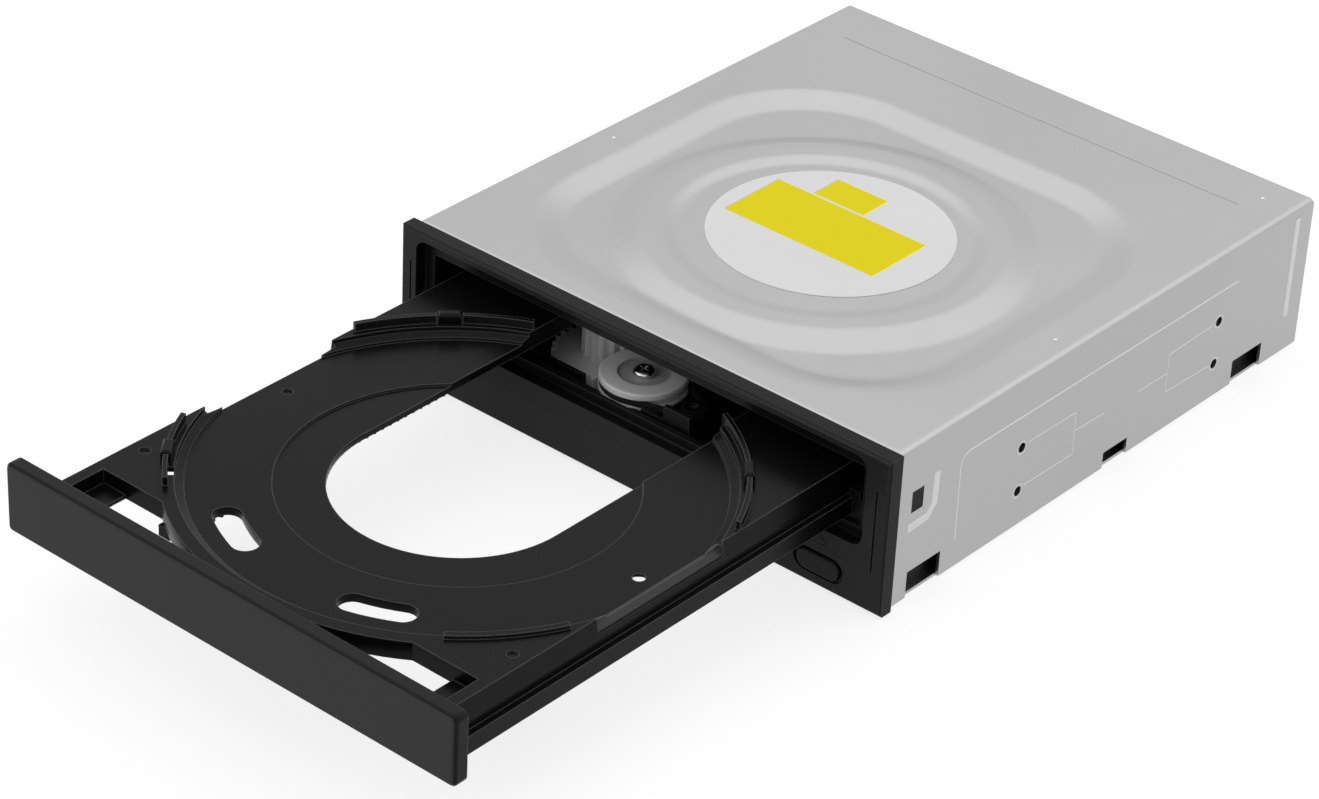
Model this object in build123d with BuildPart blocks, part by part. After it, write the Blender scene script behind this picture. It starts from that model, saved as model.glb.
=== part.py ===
from build123d import *
import math
import os

os.makedirs("parts", exist_ok=True)

# Half-height tray drive with its tray open. Millimetres. X to the right seen from the front,
# Y from the front to the rear, Z up. Origin: underside of the body, in line with the back of the
# bezel, on the centre line.

# Body
body_width = 146.0
body_depth = 164.0
body_height = 41.3
sheet = 0.8
wall_gap = 0.1
slot_axis = -0.75
half_width = body_width / 2
cover_all = 200.0

# Bezel
bezel_lap = 1.1
bezel_width = body_width + 2 * bezel_lap
bezel_thick = 4.46
bezel_low = 0.14
bezel_top = body_height + 0.45
bezel_skin = 2.0
bezel_bevel = 0.7
bezel_foot_bevel = 1.3
crease_height = 11.0
crease_setback = 0.45
recess_edge = 4.55
recess_width = body_width - 2 * recess_edge
recess_low = 16.3
recess_top = bezel_top - 1.95
recess_depth = 3.4
recess_corner = 3.2
recess_round = 0.6
slot_edge = 7.55
slot_width = body_width - 2 * slot_edge
slot_low = 19.0
slot_top = 35.2
slot_corner = 0.9
groove_x = half_width - 2.15
groove_low = 11.4
groove_top = 33.2
groove_size = 0.55
arm_low = 22.8
arm_top = 29.4
arm_root = 1.0
arm_length = 12.0
arm_thick = 1.3
hook_inset = 0.7
hook_room = 0.2
hook_start = 6.2
hook_end = 10.0
back_pocket_edge = 3.0
back_pocket_inner = 6.0
back_pocket_low = 2.2
back_pocket_top = 15.0
foot_inner = half_width - 39.0
foot_outer = half_width - 31.0
foot_length = 7.0
foot_thick = 1.2

# Tray door
door_lap = 1.65
door_width = slot_width + 2 * door_lap
door_low = 19.5
door_top = 37.3
door_thick = 3.9
door_proud = 0.7
door_corner = 1.6
door_bevel = 0.8

# Tray
travel = 129.5
tray_rear = 26.0
rail_half = slot_width / 2 - 4.15
rail_low = 20.0
rail_top = 24.5
side_half = rail_half - 1.7
deck_half = rail_half - 2.3
skirt = 2.0
deck_top = 32.0
floor_top = 29.6
floor_bottom = 27.4
shoulder_height = 27.4
disc_radius = 60.0
disc_step = 0.7
band_rise = 1.3
disc_rim = 62.1
small_disc_radius = 40.8
small_disc_depth = 0.6
opening_radius = 29.0
edge_strip = 1.7
edge_strip_reach = 20.3
spindle_y = 67.0
apron_depth = 3.5
apron_low = 24.0
apron_tab_top = 34.4
apron_tab_thick = 2.2
apron_tab_spans = ((4.5, 30.5), (40.0, 59.5))
cutout_rear = 11.2
cutout_outer = 56.0
cutout_radius = 65.4
cutout_pocket = 7.0
cutout_shelf = 1.0
rib_inner = 63.5
rib_thick = 1.2
rib_top = 34.2
lip_inner = 61.9
lip_thick = 1.6
lip_top = 32.9
rib_spans = ((117.3, 38.0, rib_inner, rib_thick, rib_top), (24.0, 40.0, rib_inner, rib_thick, rib_top),
             (205.7, 23.8, rib_inner, rib_thick, rib_top), (-49.5, 24.5, lip_inner, lip_thick, lip_top))
peephole_bearing = 224.3
peephole_length = 3.0
peephole_skin = 1.2
peephole_pocket = (disc_rim + 0.2, 66.5, 212.0, 15.0)
finger_slot_radius = 52.0
finger_slot_width = 6.7
finger_slot_centre = 24.2
finger_slot_sweep = 12.4
dimple_offset = 53.0
dimple_radius = 1.3
dimple_depth = 0.5
disc_sensor_radius = 1.5
disc_sensor_skin = 0.7
disc_sensor_pocket = 3.4
corner_dimple_x = 55.0
corner_dimple_y = 42.1
tab_length = 5.6
tab_width = 2.6
tab_top = 34.8
tab_bevel = 0.5
tab_spots = (("rear_left", 135.0), ("rear_right", 43.0), ("front_left", 218.5))

# Loading gears, with stub teeth
tooth_module = 0.8
pressure_angle = math.radians(25)
addendum = 0.8 * tooth_module
dedendum = 1.05 * tooth_module
tooth_slack = 0.16
pinion_teeth = 12
wheel_teeth = 34
feed_teeth = 16
pulley_x = -10.0
pulley_y = 11.0
gear_bearing = math.radians(156)
post_radius = 1.5
running_fit = 0.06
deck_low = 9.0
deck_high = 10.5
deck_sunk = 0.5
pinion_low = 11.4
pulley_low = 17.8
pulley_top = 22.0
pulley_radius = 10.7
pulley_round = 0.5
pulley_dish_radius = 6.4
pulley_dish_depth = 0.7
groove_radius = 9.3
belt_low = 18.8
belt_height = 1.4
belt_thick = 1.1
belt_gap = 0.1
wheel_low = 12.0
wheel_top = 17.3
feed_top = 26.8
rack_low = 24.6
rack_back = 4.2
rack_rear = 24.0
rack_front_margin = 14.0
motor_x = 7.3
motor_y = 8.8
motor_radius = 8.0
motor_flat = 0.8
motor_rim = 1.5
motor_low = 2.0
motor_top = 14.0
motor_neck_radius = 1.8
motor_neck = 1.2
motor_groove_radius = 1.9
motor_pulley_radius = 3.0
motor_shaft_radius = 1.0
cup_wall = 1.3
cup_gap = 0.15

# Lifting traverse, drawn raised and lowered by turning about its rear pivot
pivot_y = body_depth - 12.0
pivot_z = 16.0
pivot_radius = 2.0
lift_height = 6.5
lifter_half = 44.0
lifter_front = 38.0
lifter_rear = pivot_y + 4.0
lifter_low = 13.5
lifter_top = 19.0
lifter_wall = 3.5
cam_pin_radius = 1.4
cam_pin_spread = 18.0
cam_slide = 14.0
cam_gap = 0.3
slider_front = 34.0
slider_thick = 2.8
slider_low = 4.2
slider_top = 19.2
slider_left = 38.0
slider_right = 24.0
plate_low = 15.7
plate_thick = 1.0
plate_half = 40.0
plate_front = 42.0
plate_rear = pivot_y
damper_x = 36.8
damper_front = 46.6
damper_rear = pivot_y - 4.6
damper_radius = 3.4
damper_neck = 2.6
damper_bore = 1.3
damper_low = 14.5
damper_top = 18.3
spindle_base_radius = 12.5
spindle_foot_half_width = 15.0
spindle_foot_half_depth = 13.0
platter_radius = 14.4
seat_height = body_height - 10.1
hub_radius = 7.4
hub_top = seat_height + 2.2
spindle_base_top = seat_height - 7.7
hub_bevel = 1.4
mat_thick = 0.4
rod_x = 24.0
rod_z = 18.7
rod_radius = 1.5
rod_front = 77.5
rod_rear = pivot_y - 2.0
holder_thick = 2.5
sled_front = 82.0
sled_length = 24.0
sled_half = 20.5
sled_low = 13.8
sled_top = 23.0
lens_radius = 3.2
lens_offset = 8.5
focus_travel = 0.4
screw_x = 32.5
screw_radius = 1.2
screw_end = pivot_y - 11.0
stepper_radius = 6.0
stepper_front = 65.5
stepper_length = 12.0
bracket_left = 4.5
bracket_right = 5.5
bracket_thick = 1.0
bracket_foot = 5.0

# Disc clamp
bridge_low = body_height - 5.1
bridge_thick = 1.0
bridge_half_width = 30.0
bridge_half_depth = 23.0
bridge_corner = 2.5
clamp_hole = 16.6
clamp_radius = 16.0
clamp_flange = 18.6
clamp_low = seat_height + 1.5
clamp_hub_room = 1.7
clamp_flange_thick = 1.0
magnet_radius = 7.0
magnet_low = clamp_low + 2.6
magnet_bore = 2.0
tower_half_depth = 9.0

# Main frame
frame_outer = half_width - 2.7
frame_wall = 2.5
frame_low = sheet + wall_gap
frame_top = 30.0
ledge_low = 17.5
slide_gap = 0.3
guide_thick = 2.0
lip_block_thick = 2.0
lip_block_length = 12.0
lip_over = 1.0
ring_low = 8.0
ring_high = 9.5
ring_inner = 45.5
ledge_inner = rail_half - 3.7
frame_rear = body_depth - 1.6
front_wall_start = 0.2
front_wall_thick = 1.4
rear_beam = 6.0

# Cover embossing
basin_half_width = half_width - 10.4
basin_front = 7.0
basin_rear = body_depth - 36.4
basin_corner = 36.0
basin_slope = 6.5
basin_depth = 1.3
plateau_base = 50.0
plateau_top = 44.0
well_top = 38.6
well_base = 35.6
well_depth = 0.8
cover_round = 1.2
label_radius = 30.2
label_thick = 0.12

# Fixings
hole_front = 47.4
hole_pitch_y = 79.24
side_hole_low = 9.93
side_hole_pitch = 11.91
bottom_hole_pitch = body_width - 6.3
thread_minor = 1.25
collar_depth = 2.0
collar_wall = 0.9

# Electronics
board_low = 2.0
board_thick = 1.6
board_front = 50.0
board_rear = body_depth - 1.4
board_half = half_width - 9.0
chips = ((-18.0, 118.0, 20.0, 1.4), (14.0, 112.0, 12.0, 1.2), (30.0, 128.0, 10.0, 1.2),
         (-40.0, 104.0, 8.0, 1.2))
capacitor_x = (-52.0, 56.0)
capacitor_y = (122.0, 130.0)
capacitor_radius = 2.5
capacitor_height = 3.6
button_x = half_width - 17.0
button_z = 6.6
button_length = 12.0
button_height = 5.1
button_gap = 0.3
button_proud = 0.35
button_round = 0.4
button_travel = 0.8
button_dish = 1.0
dish_depth = 0.5
lamp_x = half_width - 33.0
lamp_radius = 1.0
lamp_opening = 1.1
eject_hole_x = half_width - 40.0
eject_hole_radius = 0.75

door_front = -bezel_thick - door_proud - travel
door_back = door_front + door_thick
disc_y = spindle_y - travel
lift_angle = math.degrees(math.asin(lift_height / (pivot_y - spindle_y)))
lift_axis = Axis((0, pivot_y, pivot_z), (1, 0, 0))
gear_distance = tooth_module * (pinion_teeth + wheel_teeth) / 2
feed_x = pulley_x + gear_distance * math.cos(gear_bearing)
feed_y = pulley_y + gear_distance * math.sin(gear_bearing)
feed_pitch_radius = tooth_module * feed_teeth / 2
rack_pitch_x = feed_x - feed_pitch_radius
screw_holes_y = (hole_front, hole_front + hole_pitch_y)
side_holes_z = (side_hole_low, side_hole_low + side_hole_pitch)


def block(x0, x1, y0, y1, z0, z1, mode=Mode.ADD):
    """Box between two corners."""
    with Locations(((x0 + x1) / 2, (y0 + y1) / 2, (z0 + z1) / 2)):
        Box(x1 - x0, y1 - y0, z1 - z0, mode=mode)


def drum(x, y, z0, z1, radius, mode=Mode.ADD):
    """Upright cylinder."""
    with Locations((x, y, (z0 + z1) / 2)):
        Cylinder(radius, z1 - z0, mode=mode)


def bar(x, z, y0, y1, radius, mode=Mode.ADD):
    """Round bar along Y."""
    with Locations((x, (y0 + y1) / 2, z)):
        Cylinder(radius, y1 - y0, rotation=(90, 0, 0), mode=mode)


def cross_bar(x0, x1, y, z, radius, mode=Mode.ADD):
    """Round bar along X."""
    with Locations(((x0 + x1) / 2, y, z)):
        Cylinder(radius, x1 - x0, rotation=(0, 90, 0), mode=mode)


def save(part, name):
    """Label one finished piece and write it."""
    part.label = name
    export_step(part, f"parts/{name}.step")


def save_lowered(part, name):
    """Turn a piece of the traverse from its raised place to its lowered one, and write it."""
    save(part.rotate(lift_axis, lift_angle), name)


def gear_points(teeth, first_tooth):
    """Outline of an involute gear about the origin, with one tooth centred on an angle."""
    pitch_radius = tooth_module * teeth / 2
    base_radius = pitch_radius * math.cos(pressure_angle)
    root_radius = pitch_radius - dedendum
    tip_radius = pitch_radius + addendum
    spread = math.tan(pressure_angle) - pressure_angle
    half_tooth = math.pi / teeth / 2 - tooth_slack / 2 / pitch_radius
    start_radius = max(base_radius, root_radius)
    steps = 5
    flank = []
    for step in range(steps + 1):
        radius = start_radius + (tip_radius - start_radius) * step / steps
        roll = math.acos(min(1.0, base_radius / radius))
        flank.append((radius, half_tooth + spread - (math.tan(roll) - roll)))
    points = []
    for tooth in range(teeth):
        centre = first_tooth + 2 * math.pi * tooth / teeth
        left = [(root_radius, -flank[0][1])] + [(radius, -angle) for radius, angle in flank]
        right = [(radius, angle) for radius, angle in reversed(flank)] + [(root_radius, flank[0][1])]
        for radius, angle in left + right:
            point = (radius * math.cos(centre + angle), radius * math.sin(centre + angle))
            if not points or math.dist(points[-1], point) > 1e-4:
                points.append(point)
    return points


def rack_points(y0, y1, gap_y):
    """Outline of a rack whose teeth point along +X, with a gap centred on one height along Y."""
    pitch = math.pi * tooth_module
    slope = math.tan(pressure_angle)
    half_pitch_line = pitch / 4 - tooth_slack / 2
    half_tip = half_pitch_line - addendum * slope
    half_root = half_pitch_line + dedendum * slope
    tip = rack_pitch_x + addendum
    root = rack_pitch_x - dedendum
    first = math.ceil((y0 + half_root - gap_y) / pitch - 0.5)
    last = math.floor((y1 - half_root - gap_y) / pitch - 0.5)
    points = [(rack_pitch_x - rack_back, y1), (rack_pitch_x - rack_back, y0), (root, y0)]
    for index in range(first, last + 1):
        centre = gap_y + (index + 0.5) * pitch
        points += [(root, centre - half_root), (tip, centre - half_tip)]
        points += [(tip, centre + half_tip), (root, centre + half_root)]
    points.append((root, y1))
    return points


def arc_band(inner, outer, start, sweep):
    """Closed outline of a ring sector about the origin, angles in degrees."""
    with BuildSketch() as band:
        with BuildLine():
            CenterArc((0, 0), outer, start, sweep)
            CenterArc((0, 0), inner, start, sweep)
            for angle in (start, start + sweep):
                PolarLine((inner * math.cos(math.radians(angle)), inner * math.sin(math.radians(angle))),
                          outer - inner, angle)
        make_face()
    return band.sketch


def tab_plane(bearing):
    """Plane on the tray deck at the middle of the rim, with its X axis pointing outward on a bearing."""
    spoke = math.radians(bearing)
    reach = rib_inner + rib_thick / 2
    spot_x = slot_axis + reach * math.cos(spoke)
    spot_y = disc_y + reach * math.sin(spoke)
    outward = (math.cos(spoke), math.sin(spoke), 0)
    return Plane(origin=(spot_x, spot_y, deck_top), x_dir=outward, z_dir=(0, 0, 1))


# Bezel
bezel_arm_outer = half_width - sheet - wall_gap
bezel_arm_inner = bezel_arm_outer - arm_thick
recess_floor = recess_depth - bezel_thick
recess_mid = (recess_low + recess_top) / 2
slot_mid = (slot_low + slot_top) / 2
front_plane = Plane(origin=(0, -bezel_thick, 0), x_dir=(1, 0, 0), z_dir=(0, -1, 0))
with BuildPart() as front_bezel:
    block(-bezel_width / 2, bezel_width / 2, -bezel_thick, 0, bezel_low, bezel_top)
    front_edges = front_bezel.edges().group_by(Axis.Y)[0]
    chamfer(front_edges.sort_by(Axis.Z)[1:], bezel_bevel)
    foot_edge = front_bezel.faces().sort_by(Axis.Y)[0].edges().sort_by(Axis.Z)[0]
    chamfer(foot_edge, bezel_foot_bevel)
    with BuildSketch(Plane.YZ.offset(-bezel_width / 2)):
        with BuildLine():
            Polyline((-bezel_thick, crease_height), (-bezel_thick + crease_setback, bezel_low),
                     (-bezel_thick - crease_setback, bezel_low),
                     (-bezel_thick - crease_setback, crease_height), close=True)
        make_face()
    extrude(amount=bezel_width, mode=Mode.SUBTRACT)
    with BuildSketch(front_plane):
        with Locations((slot_axis, recess_mid)):
            RectangleRounded(recess_width, recess_top - recess_low, recess_corner)
    extrude(amount=-recess_depth, mode=Mode.SUBTRACT)
    recess_lines = front_bezel.edges().filter_by_position(Axis.Y, recess_floor - 0.01, recess_floor + 0.01)
    fillet(recess_lines.filter_by(lambda edge: edge.length > slot_corner), recess_round)
    with BuildSketch(Plane.XZ):
        with Locations((slot_axis, slot_mid)):
            RectangleRounded(slot_width, slot_top - slot_low, slot_corner)
    extrude(amount=bezel_thick, both=True, mode=Mode.SUBTRACT)
    for side in (-1, 1):
        block(*sorted((side * (half_width - back_pocket_edge), side * back_pocket_inner)),
              bezel_skin - bezel_thick, 0, back_pocket_low, back_pocket_top, mode=Mode.SUBTRACT)
        block(*sorted((side * bezel_arm_inner, side * bezel_arm_outer)), -arm_root, arm_length, arm_low,
              arm_top)
        hook_out = side * (half_width - wall_gap)
        block(*sorted((side * bezel_arm_outer, hook_out)), hook_start, hook_end, arm_low + hook_inset,
              arm_top - hook_inset)
        block(*sorted((side * foot_inner, side * foot_outer)), -arm_root, foot_length, frame_low,
              frame_low + foot_thick)
        block(side * groove_x - groove_size / 2, side * groove_x + groove_size / 2,
              -bezel_thick - 1, -bezel_thick + groove_size, groove_low, groove_top, mode=Mode.SUBTRACT)
    with BuildSketch(front_plane):
        with Locations((button_x, button_z)):
            SlotOverall(button_length + 2 * (button_gap + button_dish),
                        button_height + 2 * (button_gap + button_dish / 2))
    extrude(amount=-crease_setback - dish_depth, mode=Mode.SUBTRACT)
    with BuildSketch(front_plane):
        with Locations((button_x, button_z)):
            SlotOverall(button_length + 2 * button_gap, button_height + 2 * button_gap)
        with Locations((lamp_x, button_z)):
            Circle(lamp_opening)
        with Locations((eject_hole_x, button_z)):
            Circle(eject_hole_radius)
    extrude(amount=-bezel_thick, mode=Mode.SUBTRACT)
save(front_bezel.part, "front_bezel")

# Eject button, its stem and flange
flange_front = bezel_skin - bezel_thick + wall_gap
flange_thick = 1.0
flange_over_length = 2.4
flange_over_height = 1.6
stem_radius = 1.2
stem_sunk = 0.2
stem_end = 2.6
button_plane = Plane(origin=(0, flange_front, 0), x_dir=(1, 0, 0), z_dir=(0, -1, 0))
with BuildPart() as eject_button:
    with BuildSketch(button_plane):
        with Locations((button_x, button_z)):
            SlotOverall(button_length, button_height)
    extrude(amount=bezel_skin + button_proud)
    fillet(eject_button.faces().sort_by(Axis.Y)[0].edges(), button_round)
    with BuildSketch(button_plane):
        with Locations((button_x, button_z)):
            SlotOverall(button_length + flange_over_length, button_height + flange_over_height)
    extrude(amount=-flange_thick)
    bar(button_x, button_z, flange_front + flange_thick - stem_sunk, stem_end, stem_radius)
save(eject_button.part, "eject_button")

# Lamp window
lamp_front = 4.1
with BuildPart() as lamp_window:
    bar(lamp_x, button_z, -bezel_thick + crease_setback, lamp_front - wall_gap, lamp_radius)
save(lamp_window.part, "lamp_window")

# Tray door
with BuildPart() as tray_door:
    block(slot_axis - door_width / 2, slot_axis + door_width / 2, door_front, door_back, door_low, door_top)
    fillet(tray_door.edges().filter_by(Axis.Y), door_corner)
    chamfer(tray_door.faces().sort_by(Axis.Y)[0].edges(), door_bevel)
save(tray_door.part, "tray_door")

# Tray
apron_rear = door_back + apron_depth
cutout_y = apron_rear + cutout_rear
band_low = floor_top + disc_step
side_step = side_half - edge_strip
with BuildPart() as tray:
    side_profile = [(rail_half, rail_low), (rail_half, rail_top), (side_half, rail_top),
                    (side_half, shoulder_height), (deck_half, deck_top)]
    inner_profile = [(rail_half - skirt, rail_low), (rail_half - skirt, rail_top - skirt),
                     (side_half - skirt, rail_top - skirt / 2), (side_half - skirt, floor_bottom)]
    with BuildSketch(Plane(origin=(slot_axis, door_back, 0), x_dir=(1, 0, 0), z_dir=(0, -1, 0))):
        with BuildLine():
            half_outline = side_profile + [(0, deck_top), (0, floor_bottom)] + inner_profile[::-1]
            Polyline(*half_outline, close=True)
        make_face()
        mirror(about=Plane.YZ)
    extrude(amount=-(tray_rear - door_back))
    with BuildSketch(Plane(origin=(slot_axis, disc_y, 0), x_dir=(1, 0, 0), z_dir=(0, -1, 0))):
        with BuildLine():
            Polyline((0, floor_top), (disc_radius, floor_top), (disc_radius, band_low),
                     (disc_rim, floor_top + band_rise), (disc_rim, deck_top + 1), (0, deck_top + 1),
                     close=True)
        make_face()
    revolve(axis=Axis((slot_axis, disc_y, 0), (0, 0, 1)), mode=Mode.SUBTRACT)
    drum(slot_axis, disc_y, floor_top - small_disc_depth, deck_top, small_disc_radius, mode=Mode.SUBTRACT)
    for side in (-1, 1):
        with BuildSketch(Plane(origin=(slot_axis, disc_y - edge_strip_reach, 0), x_dir=(1, 0, 0),
                               z_dir=(0, -1, 0))):
            with BuildLine():
                Polyline((side * side_step, deck_top + 1), (side * side_step, floor_top),
                         (side * side_half, floor_top - edge_strip),
                         (side * (rail_half + 1), floor_top - edge_strip),
                         (side * (rail_half + 1), deck_top + 1), close=True)
            make_face()
        extrude(amount=-2 * edge_strip_reach, mode=Mode.SUBTRACT)
    drum(slot_axis, disc_y, 0, cover_all, opening_radius, mode=Mode.SUBTRACT)
    block(slot_axis - opening_radius, slot_axis + opening_radius, disc_y, tray_rear + 1, 0, cover_all,
          mode=Mode.SUBTRACT)
    block(slot_axis - side_half, slot_axis + side_half, door_back, apron_rear, apron_low, deck_top)
    for side in (-1, 1):
        for start, end in apron_tab_spans:
            block(*sorted((slot_axis + side * start, slot_axis + side * end)),
                  door_back, door_back + apron_tab_thick, deck_top, apron_tab_top)
        with BuildSketch(Plane.XY.offset(floor_bottom - 1)):
            with Locations((slot_axis, disc_y)):
                Circle(cover_all)
                Circle(cutout_radius, mode=Mode.SUBTRACT)
            with Locations((slot_axis + side * cutout_outer / 2, (apron_rear + cutout_y) / 2)):
                Rectangle(cutout_outer, cutout_y - apron_rear, mode=Mode.INTERSECT)
        extrude(amount=deck_top, mode=Mode.SUBTRACT)
        block(*sorted((slot_axis + side * (cutout_outer - cutout_pocket), slot_axis + side * cutout_outer)),
              apron_rear, cutout_y, floor_bottom, floor_bottom + cutout_shelf)
    for centre in (-90 - finger_slot_centre, -90 + finger_slot_centre):
        with BuildSketch(Plane(origin=(slot_axis, disc_y, floor_bottom - 1))):
            add(arc_band(finger_slot_radius - finger_slot_width / 2, finger_slot_radius + finger_slot_width / 2,
                         centre - finger_slot_sweep / 2, finger_slot_sweep))
            for end in (-1, 1):
                with PolarLocations(finger_slot_radius, 1, start_angle=centre + end * finger_slot_sweep / 2):
                    Circle(finger_slot_width / 2)
        extrude(amount=deck_top, mode=Mode.SUBTRACT)
    for start, sweep, inner, thick, top in rib_spans:
        with BuildSketch(Plane(origin=(slot_axis, disc_y, floor_top))):
            add(arc_band(inner, inner + thick, start, sweep))
            with Locations((0, 0)):
                Rectangle(2 * deck_half, cover_all, mode=Mode.INTERSECT)
        extrude(amount=top - floor_top)
    with BuildSketch(Plane(origin=(slot_axis, disc_y, 0))):
        add(arc_band(*peephole_pocket))
    extrude(amount=deck_top - peephole_skin, mode=Mode.SUBTRACT)
    with BuildSketch(Plane(origin=(slot_axis, disc_y, 0))):
        with PolarLocations((disc_rim + rib_inner) / 2, 1, start_angle=peephole_bearing):
            Rectangle(rib_inner - disc_rim, peephole_length)
    extrude(amount=rib_top, mode=Mode.SUBTRACT)
    for spot, bearing in tab_spots:
        with BuildSketch(tab_plane(bearing)):
            Rectangle(2 * tab_width, tab_length + 2 * slide_gap)
        extrude(amount=rib_top, mode=Mode.SUBTRACT)
    drum(slot_axis + dimple_offset, disc_y, 0, cover_all, disc_sensor_radius, mode=Mode.SUBTRACT)
    drum(slot_axis + dimple_offset, disc_y, 0, floor_top - disc_sensor_skin, disc_sensor_pocket,
         mode=Mode.SUBTRACT)
    drum(slot_axis - dimple_offset, disc_y, floor_top - dimple_depth, cover_all, dimple_radius,
         mode=Mode.SUBTRACT)
    for side in (-1, 1):
        drum(slot_axis + side * corner_dimple_x, disc_y - corner_dimple_y, deck_top - dimple_depth, cover_all,
             dimple_radius, mode=Mode.SUBTRACT)
    with BuildSketch(Plane.XY.offset(rack_low)):
        with BuildLine():
            Polyline(*rack_points(feed_y - travel - rack_front_margin / 2, rack_rear, feed_y), close=True)
        make_face()
    extrude(amount=floor_bottom - rack_low)
save(tray.part, "tray")

# Tabs that hold a disc when the drive stands on its side
for spot, bearing in tab_spots:
    with BuildPart() as disc_tab:
        with BuildSketch(tab_plane(bearing)):
            Rectangle(tab_width, tab_length)
        extrude(amount=tab_top - deck_top)
        chamfer(disc_tab.faces().sort_by(Axis.Z)[-1].edges(), tab_bevel)
    save(disc_tab.part, f"disc_tab_{spot}")

# Main frame
ledge_top = rail_low - slide_gap
guide_inner = rail_half + slide_gap
wall_inner = frame_outer - frame_wall
deck_rear = feed_y + tooth_module * wheel_teeth / 2 + addendum + 0.3
guard_top = 23.5
rib_plan = ((-38.6, -21.4, 2.4, ledge_top), (-2.2, 4.7, 0.9, ledge_top), (4.7, 12.5, 0.9, guard_top))
rib_wall = 1.1
cross_front = 0.8
cross_rear = 0.6
cross_lip = 0.9
front_wall_top = slot_low - 0.6
groove_y = slider_front - slide_gap
groove_back = slider_front + slider_thick + slide_gap
cross_low = 2.5
cross_high = slider_low - slide_gap / 2
boss_radius = 2.5
cover_boss_radius = 3.0
pilot_end = ring_low - 1.0
screw_tip = pilot_end - 0.2
post_shoulder = 1.2
wheel_shoulder = 1.6
hinge_boss = 2.0
board_screw_x = half_width - 18.0
board_screws = [(side * board_screw_x, y) for y in (60.0, body_depth - 16.0) for side in (-1, 1)]
front_board_screws = ((lamp_x - 5.5, 15.5), (button_x + 1.0, 11.5))
cover_screw_x = half_width - 9.5
cover_screws_at = [(side * cover_screw_x, y) for y in (8.0, body_depth - 7.0) for side in (-1, 1)]
screw_pilot = 1.1
screw_fit = 0.02
pulley_screw_radius = 0.88
stem_hole = 2.2
lamp_hole = 1.3
wire_hole = 1.0
board_top = board_low + board_thick
front_board_low = 3.4
front_board_top = front_board_low + 1.2
port_height = 6.0
port_depth = 9.0
port_window = (11.5 - half_width, 54.0 - half_width, 1.2, board_top + port_height + 0.6)
port_clearance = 0.5
hinge_half = 5.0
hinge_gap = 0.3
hinge_thick = 3.4
hinge_inner = lifter_half + hinge_gap
hinge_outer = hinge_inner + hinge_thick
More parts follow.
